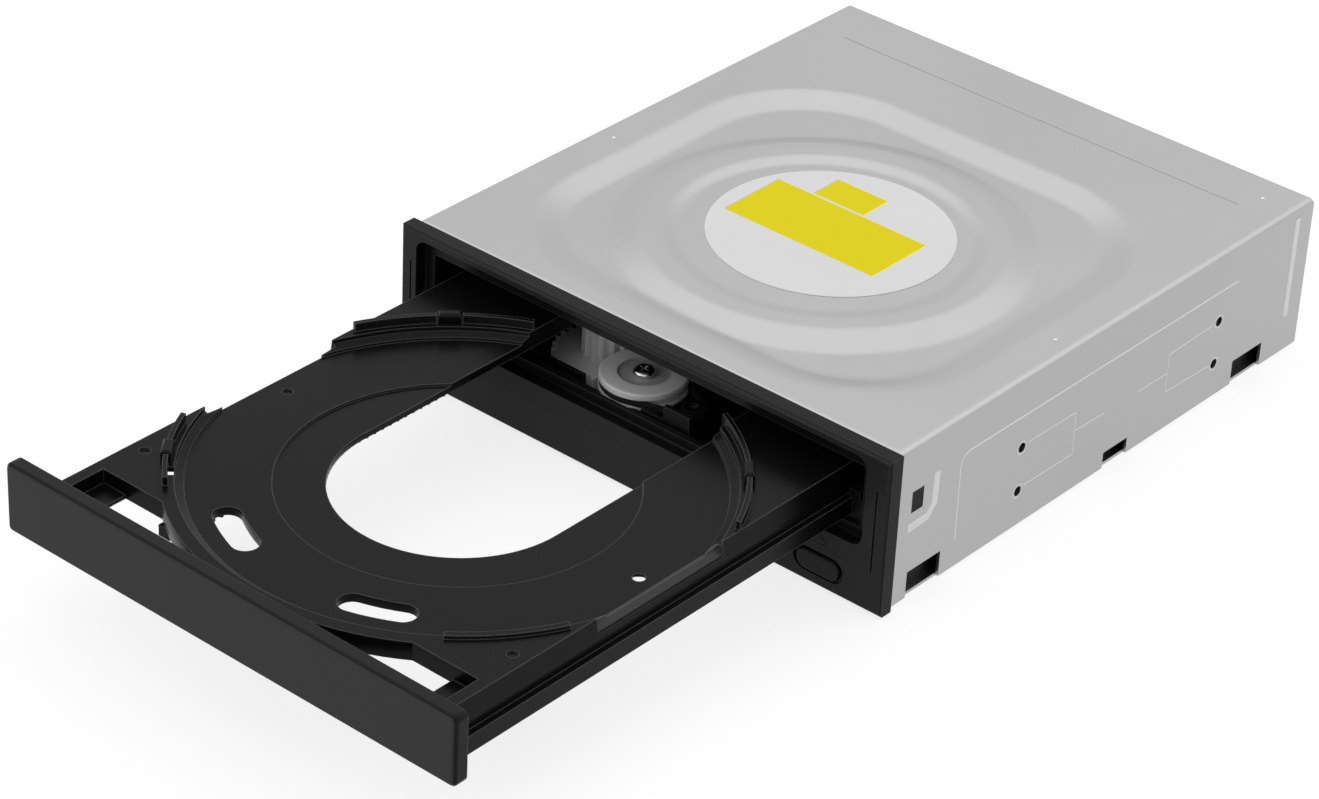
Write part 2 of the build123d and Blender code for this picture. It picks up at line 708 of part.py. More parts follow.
with BuildPart() as main_frame:
    for side in (-1, 1):
        block(*sorted((side * wall_inner, side * frame_outer)), front_wall_start, frame_rear, frame_low,
              frame_top)
        block(*sorted((side * wall_inner, side * frame_outer)), spindle_y - tower_half_depth,
              spindle_y + tower_half_depth, frame_top, bridge_low)
        block(*sorted((slot_axis + side * ledge_inner, side * wall_inner)), front_wall_start,
              frame_rear, ledge_low, ledge_top)
        block(*sorted((slot_axis + side * guide_inner, side * wall_inner)), front_wall_start,
              frame_rear, ledge_top, rail_top + slide_gap)
        for lip_y in (front_wall_start, spindle_y, frame_rear - 2 * lip_block_length):
            lip_span = sorted((slot_axis + side * (guide_inner - lip_over),
                               slot_axis + side * (guide_inner + guide_thick)))
            block(*lip_span, lip_y, lip_y + lip_block_length, rail_top + slide_gap,
                  rail_top + slide_gap + lip_block_thick)
        block(*sorted((slot_axis + side * ring_inner, side * wall_inner)), deck_rear - 1, frame_rear,
              ring_low, ring_high)
        block(*sorted((slot_axis + side * hinge_inner, slot_axis + side * hinge_outer)), pivot_y - hinge_half,
              pivot_y + hinge_half, ring_low, pivot_z + pivot_radius + hinge_boss)
    block(-wall_inner, wall_inner, front_wall_start, front_wall_start + front_wall_thick, frame_low,
          front_wall_top)
    block(-wall_inner, wall_inner, front_wall_start, deck_rear, deck_low, deck_high)
    block(-wall_inner, wall_inner, frame_rear - front_wall_thick, frame_rear, ring_low, ring_high + rear_beam)
    block(-wall_inner, wall_inner, groove_y - cross_front, groove_back + cross_rear, cross_low, cross_high)
    block(-wall_inner, wall_inner, groove_y - cross_front, groove_y, cross_high, deck_high)
    block(-wall_inner, wall_inner, groove_back, groove_back + cross_rear, cross_high, cross_high + cross_lip)
    for x0, x1, y, top in rib_plan:
        block(x0, x1, y, y + rib_wall, deck_high, top)
    drum(motor_x, motor_y, deck_high - deck_sunk, motor_top + cup_wall, motor_radius + cup_gap + cup_wall)
    drum(motor_x, motor_y, 0, motor_top, motor_radius + cup_gap, mode=Mode.SUBTRACT)
    drum(motor_x, motor_y, motor_top - 1, motor_top + 2, motor_pulley_radius + slide_gap, mode=Mode.SUBTRACT)
    drum(pulley_x, pulley_y, deck_high - deck_sunk, pulley_top - pulley_dish_depth, post_radius)
    drum(pulley_x, pulley_y, deck_high - deck_sunk, pinion_low - slide_gap / 2, post_radius + post_shoulder)
    drum(feed_x, feed_y, deck_high - deck_sunk, feed_top, post_radius)
    drum(feed_x, feed_y, deck_high - deck_sunk, wheel_low - slide_gap / 2, post_radius + wheel_shoulder)
    for x, y in board_screws:
        drum(x, y, board_low + board_thick, ring_low + deck_sunk, boss_radius)
    for x, y in cover_screws_at:
        drum(x, y, frame_low, deck_low if y < deck_rear else ring_low, cover_boss_radius)
    for x, y in board_screws + cover_screws_at:
        drum(x, y, 0, pilot_end, screw_pilot, mode=Mode.SUBTRACT)
    drum(pulley_x, pulley_y, pulley_low - slide_gap, pulley_top + slide_gap, pulley_radius + slide_gap,
         mode=Mode.SUBTRACT)
    drum(pulley_x, pulley_y, pulley_low - slide_gap, pulley_top - pulley_dish_depth, post_radius)
    drum(pulley_x, pulley_y, deck_high, pulley_top, pulley_screw_radius + screw_fit, mode=Mode.SUBTRACT)
    block(-wall_inner, wall_inner, -cover_all, front_wall_start, 0, cover_all, mode=Mode.SUBTRACT)
    block(port_window[0] - port_clearance, port_window[1] + port_clearance, frame_rear - port_depth - 2,
          frame_rear + 1, 0, port_window[3] + slide_gap, mode=Mode.SUBTRACT)
    for side in (-1, 1):
        cross_bar(*sorted((slot_axis + side * (hinge_inner - 1), slot_axis + side * (hinge_outer + 1))),
                  pivot_y, pivot_z, pivot_radius + running_fit, mode=Mode.SUBTRACT)
        for y in screw_holes_y:
            for z in side_holes_z:
                cross_bar(*sorted((side * (wall_inner - 4), side * (frame_outer + 1))), y, z,
                          thread_minor + collar_wall + slide_gap, mode=Mode.SUBTRACT)
            drum(side * bottom_hole_pitch / 2, y, 0, frame_low + collar_depth + slide_gap,
                 thread_minor + collar_wall + slide_gap, mode=Mode.SUBTRACT)
        block(*sorted((side * (bezel_arm_inner - slide_gap), side * (frame_outer + 1))), 0,
              arm_length + slide_gap, arm_low - slide_gap, frame_top + 1, mode=Mode.SUBTRACT)
        block(*sorted((side * (foot_inner - slide_gap), side * (foot_outer + slide_gap))), 0,
              foot_length + slide_gap, 0, frame_low + foot_thick + slide_gap, mode=Mode.SUBTRACT)
    for x, radius in ((button_x, stem_hole), (lamp_x, lamp_hole), (eject_hole_x, wire_hole)):
        bar(x, button_z, 0, 2 * front_wall_thick, radius, mode=Mode.SUBTRACT)
    for x, y in front_board_screws:
        drum(x, y, front_board_top, deck_low, boss_radius)
        drum(x, y, front_board_low, deck_high - deck_sunk, screw_pilot, mode=Mode.SUBTRACT)
save(main_frame.part, "main_frame")

# Loading motor and its pulley
with BuildPart() as loading_motor:
    drum(motor_x, motor_y, motor_low, motor_top, motor_radius)
    with BuildSketch(Plane.XY.offset(motor_low)):
        with Locations((motor_x, motor_y)):
            Circle(motor_radius)
            Rectangle(2 * motor_radius, 2 * motor_flat * motor_radius, mode=Mode.SUBTRACT)
    extrude(amount=motor_top - motor_low - motor_rim, mode=Mode.SUBTRACT)
    drum(motor_x, motor_y, motor_top, motor_top + motor_neck, motor_neck_radius)
    drum(motor_x, motor_y, motor_top, pulley_top - motor_neck, motor_shaft_radius)
save(loading_motor.part, "loading_motor")

belt_mid = belt_low + belt_height / 2
groove_half = belt_height / 2 + 2 * belt_gap
motor_pulley_low = motor_top + motor_neck + 1.0
motor_pulley_top = belt_mid + groove_half + 0.8
with BuildPart() as motor_pulley:
    drum(motor_x, motor_y, motor_pulley_low, motor_pulley_top, motor_pulley_radius)
    with BuildSketch(Plane.XY.offset(belt_mid - groove_half)):
        with Locations((motor_x, motor_y)):
            Circle(motor_pulley_radius + 1)
            Circle(motor_groove_radius, mode=Mode.SUBTRACT)
    extrude(amount=2 * groove_half, mode=Mode.SUBTRACT)
    drum(motor_x, motor_y, motor_pulley_low - 1, motor_pulley_top + 1, motor_shaft_radius + running_fit / 2,
         mode=Mode.SUBTRACT)
save(motor_pulley.part, "motor_pulley")

with BuildPart() as drive_belt:
    belt_rings = ((pulley_x, pulley_y, groove_radius), (motor_x, motor_y, motor_groove_radius))
    for extra, belt_mode in ((belt_gap + belt_thick, Mode.ADD), (belt_gap, Mode.SUBTRACT)):
        with BuildSketch(Plane.XY.offset(belt_low)):
            for x, y, radius in belt_rings:
                with Locations((x, y)):
                    Circle(radius + extra)
            make_hull()
        extrude(amount=belt_height, mode=belt_mode)
save(drive_belt.part, "drive_belt")

# White pulley gear with its pinion below
with BuildPart() as pulley_gear:
    drum(pulley_x, pulley_y, pulley_low, pulley_top, pulley_radius)
    fillet(pulley_gear.faces().sort_by(Axis.Z)[-1].edges(), pulley_round)
    with BuildSketch(Plane.XY.offset(belt_mid - groove_half)):
        with Locations((pulley_x, pulley_y)):
            Circle(pulley_radius + 1)
            Circle(groove_radius, mode=Mode.SUBTRACT)
    extrude(amount=2 * groove_half, mode=Mode.SUBTRACT)
    drum(pulley_x, pulley_y, pulley_top - pulley_dish_depth, pulley_top, pulley_dish_radius,
         mode=Mode.SUBTRACT)
    pinion_tooth = gear_bearing + math.pi / pinion_teeth
    with BuildSketch(Plane(origin=(pulley_x, pulley_y, pinion_low))):
        with BuildLine():
            Polyline(*gear_points(pinion_teeth, pinion_tooth), close=True)
        make_face()
    extrude(amount=pulley_low - pinion_low)
    drum(pulley_x, pulley_y, pinion_low - 1, pulley_top, post_radius + running_fit, mode=Mode.SUBTRACT)
save(pulley_gear.part, "pulley_gear")

head_radius = 2.75
head_height = 1.5
head_round = 1.0
head_low = pulley_top - pulley_dish_depth + wall_gap
cross_length = 2.8
cross_width = 0.6
cross_depth = 0.9
with BuildPart() as pulley_screw:
    drum(pulley_x, pulley_y, head_low, head_low + head_height, head_radius)
    fillet(pulley_screw.faces().sort_by(Axis.Z)[-1].edges(), head_round)
    drum(pulley_x, pulley_y, deck_high + 1, head_low, pulley_screw_radius)
    with BuildSketch(Plane(origin=(pulley_x, pulley_y, head_low + head_height))):
        Rectangle(cross_length, cross_width)
        Rectangle(cross_width, cross_length)
    extrude(amount=-cross_depth, mode=Mode.SUBTRACT)
save(pulley_screw.part, "pulley_screw")

# Tall white feed gear that drives the rack under the tray
with BuildPart() as feed_gear:
    with BuildSketch(Plane(origin=(feed_x, feed_y, wheel_low))):
        with BuildLine():
            Polyline(*gear_points(wheel_teeth, gear_bearing - math.pi), close=True)
        make_face()
    extrude(amount=wheel_top - wheel_low)
    with BuildSketch(Plane(origin=(feed_x, feed_y, wheel_top))):
        with BuildLine():
            Polyline(*gear_points(feed_teeth, math.pi), close=True)
        make_face()
    extrude(amount=feed_top - wheel_top)
    drum(feed_x, feed_y, wheel_low - 1, feed_top + 1, post_radius + running_fit, mode=Mode.SUBTRACT)
save(feed_gear.part, "feed_gear")

# Cam slider that lifts the traverse
slider_corner = 1.0
pin_y = slider_front + slider_thick / 2
pin_arm = pivot_y - pin_y
pin_low_z = pivot_z - pin_arm * math.sin(math.radians(lift_angle))
pin_rise = pivot_z - pin_low_z
cam_slope = math.degrees(math.atan2(pin_rise, -cam_slide))
with BuildPart() as cam_slider:
    block(slot_axis - slider_left, slot_axis + slider_right, slider_front, slider_front + slider_thick,
          slider_low, slider_top)
    fillet(cam_slider.edges().filter_by(Axis.Y), slider_corner)
    with BuildSketch(Plane(origin=(0, slider_front, 0), x_dir=(1, 0, 0), z_dir=(0, -1, 0))):
        for side in (-1, 1):
            slot_x = slot_axis + side * cam_pin_spread - cam_slide / 2
            with Locations(Location((slot_x, (pin_low_z + pivot_z) / 2, 0), cam_slope)):
                SlotCenterToCenter(math.hypot(cam_slide, pin_rise), 2 * (cam_pin_radius + cam_gap))
    extrude(amount=-slider_thick, mode=Mode.SUBTRACT)
save(cam_slider.part, "cam_slider")

# Lifting frame of the traverse
ring_half = lifter_half - lifter_wall
lifter_corner = 1.2
post_tab = 4.4
post_short = 0.6
damper_screw_radius = 0.6
with BuildPart() as lifter_frame:
    block(slot_axis - lifter_half, slot_axis + lifter_half, lifter_front, lifter_rear, lifter_low, lifter_top)
    block(slot_axis - ring_half, slot_axis + ring_half, lifter_front + lifter_wall, lifter_rear - lifter_wall,
          lifter_low, lifter_top, mode=Mode.SUBTRACT)
    fillet(lifter_frame.edges().filter_by(Axis.Z), lifter_corner)
    for side in (-1, 1):
        for y in (damper_front, damper_rear):
            block(*sorted((slot_axis + side * (damper_x - post_tab), slot_axis + side * (ring_half + 0.5))),
                  y - post_tab, y + post_tab, lifter_low, damper_low)
            drum(slot_axis + side * damper_x, y, lifter_low, damper_top - post_short,
                 damper_bore - running_fit)
        pivot_span = sorted((slot_axis + side * (lifter_half - 1),
                             slot_axis + side * (hinge_outer - wall_gap)))
        cross_bar(*pivot_span, pivot_y, pivot_z, pivot_radius)
        bar(slot_axis + side * cam_pin_spread, pivot_z, slider_front - wall_gap, lifter_front + 1,
            cam_pin_radius)
    for side in (-1, 1):
        for y in (damper_front, damper_rear):
            drum(slot_axis + side * damper_x, y, lifter_low, damper_top, damper_screw_radius,
                 mode=Mode.SUBTRACT)
save_lowered(lifter_frame.part, "lifter_frame")

# Rubber dampers and their screws
damper_spots = [(slot_axis + side * damper_x, y) for side in (-1, 1) for y in (damper_front, damper_rear)]
with BuildPart() as dampers:
    for x, y in damper_spots:
        drum(x, y, damper_low, damper_top, damper_radius)
        with BuildSketch(Plane.XY.offset(plate_low)):
            with Locations((x, y)):
                Circle(damper_radius + 1)
                Circle(damper_neck, mode=Mode.SUBTRACT)
        extrude(amount=plate_thick, mode=Mode.SUBTRACT)
        drum(x, y, damper_low - 1, damper_top + 1, damper_bore, mode=Mode.SUBTRACT)
save_lowered(dampers.part, "dampers")

small_head_radius = 2.4
small_head_height = 1.0
small_cross_length = 2.6
small_cross_width = 0.5
small_cross_depth = 0.6
with BuildPart() as damper_screws:
    for x, y in damper_spots:
        drum(x, y, damper_top, damper_top + small_head_height, small_head_radius)
        drum(x, y, damper_low + post_short, damper_top, damper_screw_radius - screw_fit)
        with BuildSketch(Plane(origin=(x, y, damper_top + small_head_height))):
            Rectangle(small_cross_length, small_cross_width)
            Rectangle(small_cross_width, small_cross_length)
        extrude(amount=-small_cross_depth, mode=Mode.SUBTRACT)
save_lowered(damper_screws.part, "damper_screws")

# Steel plate that carries the spindle, the rods and the pickup
window_half = 21.4
window_front = spindle_y + spindle_foot_half_depth + 1.0
window_rear = pivot_y - 6.0
window_clearance = 0.4
rod_block_half = 2.0
rod_block_top = rod_z + rod_radius + 0.8
stepper_bay = 6.3
with BuildPart() as traverse_plate:
    block(slot_axis - plate_half, slot_axis + plate_half, plate_front, plate_rear,
          plate_low, plate_low + plate_thick)
    block(slot_axis - window_half, slot_axis + window_half, window_front, window_rear, 0, cover_all,
          mode=Mode.SUBTRACT)
    block(slot_axis + screw_x - stepper_bay, slot_axis + screw_x + stepper_bay,
          stepper_front - window_clearance, stepper_front + stepper_length + window_clearance,
          0, cover_all, mode=Mode.SUBTRACT)
    for x, y in damper_spots:
        drum(x, y, 0, cover_all, damper_neck + screw_fit, mode=Mode.SUBTRACT)
    for side in (-1, 1):
        rod_centre = slot_axis + side * rod_x
        for y0 in (rod_front, rod_rear - holder_thick):
            block(rod_centre - rod_block_half, rod_centre + rod_block_half, y0, y0 + holder_thick,
                  plate_low + plate_thick, rod_block_top)
        bar(rod_centre, rod_z, rod_front - 1, rod_rear + 1, rod_radius + screw_fit / 2, mode=Mode.SUBTRACT)
save_lowered(traverse_plate.part, "traverse_plate")

with BuildPart() as guide_rods:
    for side in (-1, 1):
        bar(slot_axis + side * rod_x, rod_z, rod_front, rod_rear, rod_radius)
save_lowered(guide_rods.part, "guide_rods")

# Spindle motor, turntable and its friction ring
plate_top = plate_low + plate_thick
shaft_radius = 1.2
shaft_low = plate_top + 1.8
platter_low = spindle_base_top + slide_gap
platter_edge = seat_height - 3.0
platter_step = 0.8
mat_inner = hub_radius + 3.0
mat_play = 0.4
with BuildPart() as spindle_motor:
    block(slot_axis - spindle_foot_half_width, slot_axis + spindle_foot_half_width,
          spindle_y - spindle_foot_half_depth, spindle_y + spindle_foot_half_depth, plate_top,
          plate_top + plate_thick)
    drum(slot_axis, spindle_y, plate_top, spindle_base_top, spindle_base_radius)
    drum(slot_axis, spindle_y, shaft_low - slide_gap, spindle_base_top, shaft_radius + running_fit,
         mode=Mode.SUBTRACT)
save_lowered(spindle_motor.part, "spindle_motor")

with BuildPart() as turntable:
    drum(slot_axis, spindle_y, platter_low, platter_edge, platter_radius - platter_step)
    drum(slot_axis, spindle_y, platter_edge, seat_height - mat_thick, platter_radius)
    drum(slot_axis, spindle_y, seat_height - mat_thick, seat_height, mat_inner - mat_play)
    drum(slot_axis, spindle_y, seat_height, hub_top, hub_radius)
    chamfer(turntable.faces().sort_by(Axis.Z)[-1].edges(), hub_bevel)
    drum(slot_axis, spindle_y, shaft_low, platter_low, shaft_radius)
save_lowered(turntable.part, "turntable")

with BuildPart() as turntable_mat:
    with BuildSketch(Plane.XY.offset(seat_height - mat_thick)):
        with Locations((slot_axis, spindle_y)):
            Circle(platter_radius)
            Circle(mat_inner, mode=Mode.SUBTRACT)
    extrude(amount=mat_thick)
save_lowered(turntable_mat.part, "turntable_mat")

# Sled motor with its lead screw
bracket_y = stepper_front + stepper_length
bracket_foot_thick = 0.8
end_bracket_top = rod_z + 3.0
screw_bevel = 0.3
with BuildPart() as sled_motor:
    bar(slot_axis + screw_x, rod_z, stepper_front, bracket_y, stepper_radius)
save_lowered(sled_motor.part, "sled_motor")

with BuildPart() as sled_motor_bracket:
    for wall_y, foot_y, height in ((bracket_y, bracket_y, rod_z + stepper_radius),
                                   (screw_end, screw_end + bracket_thick - bracket_foot, end_bracket_top)):
        block(slot_axis + screw_x - bracket_left, slot_axis + screw_x + bracket_right, wall_y,
              wall_y + bracket_thick, plate_top, height)
        block(slot_axis + screw_x - bracket_left, slot_axis + screw_x + bracket_right, foot_y,
              foot_y + bracket_foot, plate_top, plate_top + bracket_foot_thick)
    bar(slot_axis + screw_x, rod_z, bracket_y - 1, screw_end + 2, screw_radius + running_fit,
        mode=Mode.SUBTRACT)
save_lowered(sled_motor_bracket.part, "sled_motor_bracket")

with BuildPart() as lead_screw:
    bar(slot_axis + screw_x, rod_z, bracket_y + running_fit, screw_end + bracket_thick, screw_radius)
    chamfer(lead_screw.faces().sort_by(Axis.Y)[-1].edges(), screw_bevel)
save_lowered(lead_screw.part, "lead_screw")

# Pickup sled, lens holder and lens
sled_rear = sled_front + sled_length
lens_y = sled_front + lens_offset
arm_reach = rod_x + rod_radius + 1.7
arm_base = plate_top + 0.25
arm_cover = 1.2
sled_corner = 2.0
finger_half = 1.0
finger_clearance = 0.4
holder_low = sled_top + focus_travel + wall_gap
holder_high = 27.6
cover_half = 11.5
cover_window_half = 8.4
actuator_height = 3.4
holder_half = 6.0
holder_depth = 5.2
holder_corner = 1.6
lens_seat = 1.0
lens_round = 0.7
with BuildPart() as pickup_sled:
    block(slot_axis - sled_half, slot_axis + sled_half, sled_front, sled_rear, sled_low, sled_top)
    chamfer(pickup_sled.edges().filter_by(Axis.Z), sled_corner)
    block(slot_axis - arm_reach, slot_axis + arm_reach, sled_front + 3, sled_rear - 2, arm_base,
          rod_z + rod_radius + arm_cover)
    block(slot_axis + arm_reach, slot_axis + screw_x - screw_radius - finger_clearance, sled_front + 9,
          sled_front + 15, rod_z - finger_half, rod_z + finger_half)
    for side in (-1, 1):
        bar(slot_axis + side * rod_x, rod_z, sled_front, sled_rear, rod_radius + running_fit,
            mode=Mode.SUBTRACT)
save_lowered(pickup_sled.part, "pickup_sled")

with BuildPart() as actuator_cover:
    block(slot_axis - cover_half, slot_axis + cover_half, sled_front + 1.0, sled_front + 19.5, sled_top,
          sled_top + actuator_height)
    block(slot_axis - cover_window_half, slot_axis + cover_window_half, sled_front + 2.4, sled_front + 16.0,
          0, cover_all, mode=Mode.SUBTRACT)
save_lowered(actuator_cover.part, "actuator_cover")

with BuildPart() as lens_holder:
    block(slot_axis - holder_half, slot_axis + holder_half, lens_y - holder_depth, lens_y + holder_depth,
          holder_low, holder_high)
    chamfer(lens_holder.edges().filter_by(Axis.Z), holder_corner)
    drum(slot_axis, lens_y, holder_high - lens_seat, holder_high + 1, lens_radius, mode=Mode.SUBTRACT)
save_lowered(lens_holder.part, "lens_holder")

with BuildPart() as objective_lens:
    drum(slot_axis, lens_y, holder_high - lens_seat, holder_high + lens_seat / 2, lens_radius)
    fillet(objective_lens.faces().sort_by(Axis.Z)[-1].edges(), lens_round)
save_lowered(objective_lens.part, "objective_lens")

# Disc clamp under the cover
flange_low = bridge_low + bridge_thick + slide_gap
flange_high = flange_low + clamp_flange_thick
bridge_screw_radius = 0.8
bridge_head_radius = 1.6
bridge_head_height = 0.9
with BuildPart() as clamp_bridge:
    block(-frame_outer, frame_outer, spindle_y - tower_half_depth, spindle_y + tower_half_depth,
          bridge_low, bridge_low + bridge_thick)
    block(slot_axis - bridge_half_width, slot_axis + bridge_half_width, spindle_y - bridge_half_depth,
          spindle_y + bridge_half_depth, bridge_low, bridge_low + bridge_thick)
    fillet(clamp_bridge.edges().filter_by(Axis.Z), bridge_corner)
    drum(slot_axis, spindle_y, 0, cover_all, clamp_hole, mode=Mode.SUBTRACT)
    for side in (-1, 1):
        drum(side * (frame_outer - frame_wall / 2), spindle_y, 0, cover_all, bridge_screw_radius,
             mode=Mode.SUBTRACT)
save(clamp_bridge.part, "clamp_bridge")

with BuildPart() as bridge_screws:
    for side in (-1, 1):
        x = side * (frame_outer - frame_wall / 2)
        drum(x, spindle_y, bridge_low + bridge_thick, bridge_low + bridge_thick + bridge_head_height,
             bridge_head_radius)
        drum(x, spindle_y, bridge_low, bridge_low + bridge_thick, bridge_screw_radius - screw_fit)
save(bridge_screws.part, "bridge_screws")

with BuildPart() as disc_clamp:
    drum(slot_axis, spindle_y, clamp_low, flange_low, clamp_radius)
    drum(slot_axis, spindle_y, flange_low, flange_high, clamp_flange)
    drum(slot_axis, spindle_y, clamp_low, clamp_low + clamp_hub_room, hub_radius + platter_step,
         mode=Mode.SUBTRACT)
    drum(slot_axis, spindle_y, magnet_low, flange_high, magnet_radius + wall_gap, mode=Mode.SUBTRACT)
save(disc_clamp.part, "disc_clamp")

with BuildPart() as clamp_magnet:
    drum(slot_axis, spindle_y, magnet_low, flange_high, magnet_radius)
    drum(slot_axis, spindle_y, 0, cover_all, magnet_bore, mode=Mode.SUBTRACT)
save(clamp_magnet.part, "clamp_magnet")

# Boards and what stands on them
with BuildPart() as main_board:
    block(-board_half, board_half, board_front, board_rear, board_low, board_top)
    for x, y in board_screws:
        drum(x, y, 0, board_top + 1, screw_pilot + wall_gap, mode=Mode.SUBTRACT)
    for x, y in cover_screws_at:
        drum(x, y, 0, board_top + 1, cover_boss_radius + slide_gap, mode=Mode.SUBTRACT)
save(main_board.part, "main_board")

with BuildPart() as board_chips:
    for x, y, size, height in chips:
        block(x - size / 2, x + size / 2, y - size / 2, y + size / 2, board_top, board_top + height)
save(board_chips.part, "board_chips")

with BuildPart() as board_capacitors:
    for x in capacitor_x:
        for y in capacitor_y:
            drum(x, y, board_top, board_top + capacitor_height, capacitor_radius)
save(board_capacitors.part, "board_capacitors")

port_low = board_top
port_wall = 1.0
port_floor = 2.4
tongue = 1.6
tongue_side_gap = 0.6
tongue_short = 0.8
ports = (("data_connector", 46.0 - half_width, 12.0), ("power_connector", 24.5 - half_width, 22.0))
for name, centre_x, length in ports:
    with BuildPart() as port:
        half_length = length / 2
        half_room = half_length - port_wall
        half_tongue = half_room - tongue_side_gap
        block(centre_x - half_length, centre_x + half_length, body_depth - port_depth, body_depth,
              port_low, port_low + port_height)
        block(centre_x - half_room, centre_x + half_room, body_depth - port_depth + port_floor,
              body_depth + 1, port_low + port_wall, port_low + port_height - port_wall, mode=Mode.SUBTRACT)
        block(centre_x - half_tongue, centre_x + half_tongue,
              body_depth - port_depth + port_floor - deck_sunk, body_depth - tongue_short,
              port_low + (port_height - tongue) / 2, port_low + (port_height + tongue) / 2)
    save(port.part, name)

board_head_radius = 2.0
board_head_height = 1.0
with BuildPart() as board_screw_set:
    for x, y in board_screws:
        drum(x, y, board_low - board_head_height, board_low, board_head_radius)
        drum(x, y, board_low, screw_tip, screw_pilot - screw_fit)
    for x, y in front_board_screws:
        drum(x, y, front_board_low - board_head_height, front_board_low, board_head_radius)
        drum(x, y, front_board_low, deck_low, screw_pilot - screw_fit)
save(board_screw_set.part, "board_screws")

front_board_front = 2.2
front_board_rear = 19.0
front_board_left = lamp_x - 9.0
front_board_right = button_x + 4.0
with BuildPart() as front_board:
    block(front_board_left, front_board_right, front_board_front, front_board_rear, front_board_low,
          front_board_top)
    for x, y in front_board_screws:
        drum(x, y, 0, cover_all, screw_pilot + wall_gap, mode=Mode.SUBTRACT)
save(front_board.part, "front_board")

switch_face = stem_end + wall_gap
switch_half = 3.0
switch_depth = 4.0
switch_height = 3.8
switch_front = switch_face + 1.0
plunger_radius = 1.3
plunger_bore = 1.45
plunger_room = 2.2
lamp_half = 1.5
lamp_depth = 2.4
lamp_height = 3.4
with BuildPart() as eject_switch:
    block(button_x - switch_half, button_x + switch_half, switch_front, switch_front + switch_depth,
          front_board_top, front_board_top + switch_height)
    bar(button_x, button_z, switch_face, switch_face + plunger_room, plunger_bore, mode=Mode.SUBTRACT)
save(eject_switch.part, "eject_switch")

with BuildPart() as switch_plunger:
    plunger_end = switch_face + plunger_room - button_travel - wall_gap
    bar(button_x, button_z, switch_face, plunger_end, plunger_radius)
save(switch_plunger.part, "switch_plunger")

with BuildPart() as activity_lamp:
    block(lamp_x - lamp_half, lamp_x + lamp_half, lamp_front, lamp_front + lamp_depth, front_board_top,
          front_board_top + lamp_height)
save(activity_lamp.part, "activity_lamp")

# Flat cable between the two boards
cable_thick = 0.3
cable_x0 = button_x - 8.5
cable_x1 = button_x + 1.5
cable_bend = 1.2
plug_depth = 3.0
plug_height = 1.6
plug_wall = 1.0
cable_z0 = front_board_top + plug_height / 2
cable_z1 = board_top + plug_height / 2
cable_floor = sheet + 0.5
plug_front = front_board_rear - plug_depth
plug_rear = board_front + plug_wall
with BuildPart() as cable_sockets:
    for y, z in ((plug_front, front_board_top), (plug_rear, board_top)):
        block(cable_x0 - plug_wall, cable_x1 + plug_wall, y, y + plug_depth, z, z + plug_height)
    block(cable_x0, cable_x1, plug_front + plug_wall, plug_front + plug_depth, cable_z0 - cable_thick / 2,
          cable_z0 + cable_thick / 2, mode=Mode.SUBTRACT)
    block(cable_x0, cable_x1, plug_rear, plug_rear + plug_depth - plug_wall, cable_z1 - cable_thick / 2,
          cable_z1 + cable_thick / 2, mode=Mode.SUBTRACT)
save(cable_sockets.part, "cable_sockets")

with BuildPart() as flat_cable:
    with BuildSketch(Plane.YZ.offset(cable_x0)):
        with BuildLine() as route:
            FilletPolyline((plug_front + plug_wall, cable_z0), (front_board_rear + 3.5, cable_z0),
                           (front_board_rear + 7.0, cable_floor), (board_front - 7.0, cable_floor),
                           (board_front - 3.5, cable_z1), (plug_rear + plug_depth - plug_wall, cable_z1),
                           radius=cable_bend)
        trace(route.line, cable_thick)
    extrude(amount=cable_x1 - cable_x0)
save(flat_cable.part, "flat_cable")


def cover_mass(drop):
    """Upper half of the cover as a solid block with its embossing, moved down by a distance."""
    top = body_height - drop
    with BuildPart() as mass:
        block(-half_width, half_width, wall_gap, body_depth, frame_top - drop, top)
        rim = mass.faces().sort_by(Axis.Z)[-1].edges()
        fillet(rim.sort_by(Axis.Y)[1:], cover_round)
        for height, inset in ((top, 0), (top - basin_depth, basin_slope)):
            with BuildSketch(Plane.XY.offset(height)):
                with Locations((0, (basin_front + basin_rear) / 2)):
                    RectangleRounded(2 * (basin_half_width - inset), basin_rear - basin_front - 2 * inset,
                                     basin_corner - inset / 2)
        loft(mode=Mode.SUBTRACT)
        for height, radius in ((top - basin_depth, plateau_base), (top, plateau_top)):
            with BuildSketch(Plane.XY.offset(height)):
                with Locations((slot_axis, spindle_y)):
                    Circle(radius)
        loft()
        for height, radius in ((top, well_top), (top - well_depth, well_base)):
            with BuildSketch(Plane.XY.offset(height)):
                with Locations((slot_axis, spindle_y)):
                    Circle(radius)
        loft(mode=Mode.SUBTRACT)
    return mass.part


